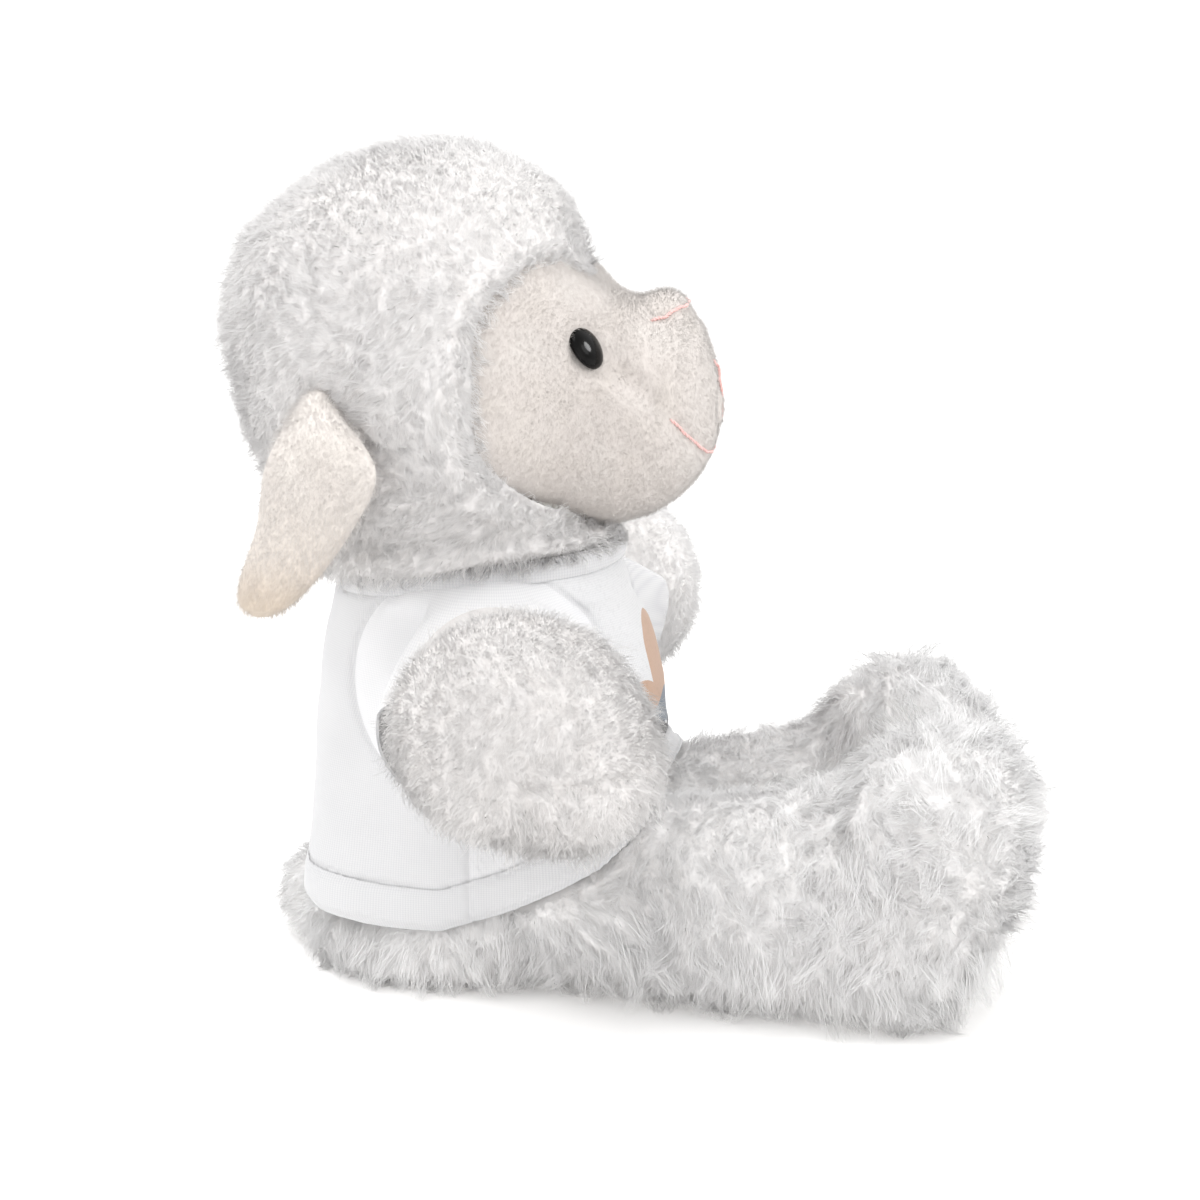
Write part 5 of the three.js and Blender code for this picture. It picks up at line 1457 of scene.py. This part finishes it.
above_hem = lambda p: hem_height(p[:, 1]) + HEM_HEIGHT - p[:, 2]
hem_edge = lambda p: hem_height(p[:, 1]) - p[:, 2]
EV, ET = clip(EV, ET, hem_edge)
EV, ET = clip(EV, ET, collar_low)
EV, ET = clip(EV, ET, lambda p: p[:, 1] - 17)
# the opening at the front keeps only the part round the body, not the thighs beyond the hem
TEE_THICK = 0.9


def cloth(name, V, T, mat, thick=TEE_THICK):
    P, N = V[:, :3], V[:, 3:6]
    W, F = shell(P, P - N * thick, T)
    ang = np.arctan2(W[:, 1] + 34.5, W[:, 0])
    uv = np.stack([ang * 0.041, W[:, 2] * 0.001], 1)
    b = Build()
    b.add(W, F, uv, np.concatenate([N, -N]))
    o = b.make(name, mat, "Knit")
    return o


B1V, B1T = clip(EV, ET, lambda p: -in_hole(p))
front = clip(*clip(B1V, B1T, above_hem), lambda p: -33.5 - p[:, 1])
backp = clip(*clip(B1V, B1T, above_hem), lambda p: p[:, 1] + 33.5)
hem = clip(B1V, B1T, lambda p: -above_hem(p))

o_front = cloth("tee_front", *front, M_CHEST_PAINTED_LIGHTER)
place(o_front, "torso", "tee_jersey", "tee_front_panel")
o_back = cloth("tee_back", *backp, M_JERSEY)
place(o_back, "torso", "tee_jersey", "tee_back_panel")
hem[0][:, :3] += hem[0][:, 3:6] * 0.35
o_hem = cloth("tee_hem", *hem, M_JERSEY, 1.6)
place(o_hem, "torso", "tee_jersey", "tee_hem_band")

for side, word in ((-1, "right"), (1, "left")):
    V, T = clip(EV, ET, in_hole)
    V, T = clip(V, T, lambda p: -side * p[:, 0])
    V, T = clip(V, T, lambda p: arm_local(p, side)[:, 0] - SLEEVE_END)
    ob = cloth(f"tee_{word}_sleeve", V, T, M_SLEEVE_PAINTED_LIGHTER, 1.3)
    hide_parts(f"{word}_sleeve")
    o, d, u, w = arm_frame(side)
    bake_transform(ob)

# collar: a folded standing band
nt_, nh = 120, 13
th = np.linspace(0, 2 * math.pi, nt_, endpoint=False)
wob = 0.4 * np.sin(2 * th + 0.6) + 0.3 * np.sin(3 * th + 2.1) + 0.2 * np.sin(7 * th)
prof = []
for k in range(nh):
    t = k / (nh - 1)
    prof.append((35.5 - 0.9 * t + 0.5 * math.sin(math.pi * t), t))
prof_in = [(r - 1.7, t) for r, t in prof[::-1]]
ring = prof[:-1] + [(prof[-1][0] - 0.25, 1.02), (prof[-1][0] - 0.85, 1.05), (prof[-1][0] - 1.45, 1.02)] + prof_in[1:]
rows_ = []
for r, t in ring:
    fx = np.sin(th)
    ff = np.cos(th)
    rr = r + wob * (0.4 + 0.6 * t)
    f = -37 + rr * ff
    topz = collar_top(f) + 0.4 * np.sin(3 * th + 1.0)
    lowz = topz - 5.0
    rows_.append(np.stack([rr * fx * 1.0, f, lowz + (topz - lowz) * t], 1))
V = np.concatenate(rows_)
m = len(ring)
F = []
for k in range(m):
    for s in range(nt_):
        a, c = k * nt_ + s, k * nt_ + (s + 1) % nt_
        a2, c2 = ((k + 1) % m) * nt_ + s, ((k + 1) % m) * nt_ + (s + 1) % nt_
        F.append((a, a2, c2, c))
F = np.array(F)
mid_ = V[F[10]].mean(0)
nn_ = np.cross(V[F[10, 1]] - V[F[10, 0]], V[F[10, 2]] - V[F[10, 0]])
if (nn_ * (mid_ - np.array([0, -37, mid_[2]]))).sum() < 0:
    F = F[:, ::-1]
uvc = np.stack([np.arctan2(V[:, 0], V[:, 1] + 37) * 0.036, V[:, 2] * 0.001], 1)
b = Build()
b.add(V, F, uvc)
o_collar = b.make("tee_collar", M_RIB, "Knit")
place(o_collar, "torso", "tee_jersey", "tee_collar_band")


# sewing on the shirt: one row on the hem band
def ring_on_tee(height, n, lift):
    th = np.linspace(0, 2 * math.pi, n, endpoint=False)
    z = np.full(n, 30.0)
    r = np.full(n, 40.0)
    for _ in range(10):
        lo, hi = np.full(n, 15.0), np.full(n, 70.0)
        for _ in range(22):
            r = (lo + hi) / 2
            p = np.stack([r * np.sin(th), -34.5 + r * np.cos(th), z], 1)
            out = tee_field(p) > 0
            hi = np.where(out, r, hi)
            lo = np.where(out, lo, r)
        z = 0.5 * z + 0.5 * (hem_height(-34.5 + r * np.cos(th)) + height)
    p = np.stack([r * np.sin(th), -34.5 + r * np.cos(th), z], 1)
    return p + gradient(tee_field, p) * lift


def sew(b, line, length, gap, radius):
    loop = np.concatenate([line, line[:1]])
    s = np.concatenate([[0], np.cumsum(np.linalg.norm(np.diff(loop, axis=0), axis=1))])
    n = int(s[-1] // (length + gap))
    t0 = np.arange(n) * s[-1] / n
    paths = []
    for i in range(5):
        t = t0 + length * i / 4
        paths.append(np.stack([np.interp(t % s[-1], s, loop[:, k]) for k in range(3)], 1))
    tubes(b, np.stack(paths, 1), np.array([0.45, 0.95, 1.0, 0.95, 0.45]) * radius, 5)


b = Build()
sew(b, ring_on_tee(HEM_HEIGHT - 0.1, 400, 0.1), 1.7, 0.7, 0.16)
place(b.make("tee_hem_sewing", M_SEW), "torso", "tee_jersey")

# ------------------------------------------------------------------ inner CAD nodes
def dress(material_, *names):
    for n in names:
        ob = bpy.data.objects.get(n)
        if ob is None:
            print("no node", n)
            continue
        ob.data.materials.clear()
        ob.data.materials.append(material_)


dress(M_FIBRE, "torso_filling", "head_filling", "left_arm_filling", "right_arm_filling", "left_leg_filling", "right_leg_filling", "tail_filling")
dress(M_POUCH, "pellet_pouch")
dress(M_WASHER, "left_eye_washer", "right_eye_washer")
dress(M_RING, "neck_gather_ring")

# -------------------------------------------------------------- floor, light, camera
def floor_material():
    m, nt, bsdf = material("studio_floor", 0.9, 0.0, 0.1)
    f = noise(nt, object_coords(nt), 3, 2)
    nt.links.new(ramp(nt, f, [(0.3, (0.925, 0.921, 0.917, 1)), (0.7, (0.935, 0.931, 0.927, 1))]), bsdf.inputs["Base Color"])
    # a lit table: the surface glows a little, as backlit acrylic does
    bsdf.inputs["Emission Color"].default_value = (1, 0.985, 0.97, 1)
    bsdf.inputs["Emission Strength"].default_value = 0.18
    return m


b = Build()
n = 96
a = np.linspace(0, 2 * math.pi, n, endpoint=False)
rim = np.stack([np.cos(a) * 40000, np.sin(a) * 40000, np.zeros(n)], 1)
b.add(np.vstack([rim, [[0, 0, 0]]]), np.array([(i, (i + 1) % n, n) for i in range(n)]))
floor = b.make("studio_floor", floor_material())

world = bpy.data.worlds.new("studio")
bpy.context.scene.world = world
world.use_nodes = True
bg = world.node_tree.nodes["Background"]
bg.inputs["Color"].default_value = (1, 1, 1, 1)
bg.inputs["Strength"].default_value = 1.03


def soft_light(name, at, aim, size, power, colour=(1, 1, 1)):
    d = bpy.data.lights.new(name, "AREA")
    d.shape = "DISK"
    d.size = size
    d.energy = power
    d.color = colour
    o = bpy.data.objects.new(name, d)
    o.location = at
    o.rotation_mode = "QUATERNION"
    o.rotation_quaternion = (Vector(aim) - Vector(at)).to_track_quat("-Z", "Y")
    bpy.context.scene.collection.objects.link(o)
    return o


soft_light("top", (-0.3, 0.4, 1.45), (0, 0, 0.08), 1.1, 8.8)
soft_light("fill", (-1.25, -0.3, 0.35), (0, 0, 0.07), 0.9, 0.6)
soft_light("back", (-0.5, 1.0, 0.8), (0, 0, 0.1), 0.8, 0.8)
soft_light("front", (-0.35, -1.05, 0.75), (0, 0, 0.1), 0.7, 3.6)
# a panel that only shows as the highlight on the eyes
panel = soft_light("eye_panel", (0.12, -0.74, 0.62), (-0.02, 0, 0.155), 0.34, 7.0)
panel.visible_diffuse = False
panel.visible_transmission = False
panel.visible_camera = False
# white pile needs many bounces of light between its strands
bpy.context.scene.cycles.max_bounces = 32
bpy.context.scene.cycles.diffuse_bounces = 24
bpy.context.scene.cycles.transmission_bounces = 24

cam_data = bpy.data.cameras.new("camera")
cam = bpy.data.objects.new("camera", cam_data)
bpy.context.scene.collection.objects.link(cam)
cam_data.sensor_width = 36
cam_data.lens = 18 / (0.1476 / 0.7)
cam_data.clip_end = 50
az, el, dist = math.radians(276.5), math.radians(12.5), 0.7
target = Vector((0, 0.0074, 0.089))
away = Vector((math.sin(az) * math.cos(el), -math.cos(az) * math.cos(el), math.sin(el)))
cam.location = target + away * dist
cam.rotation_mode = "QUATERNION"
cam.rotation_quaternion = (-away).to_track_quat("-Z", "Y")
bpy.context.scene.camera = cam
bpy.context.scene.view_settings.view_transform = "Standard"
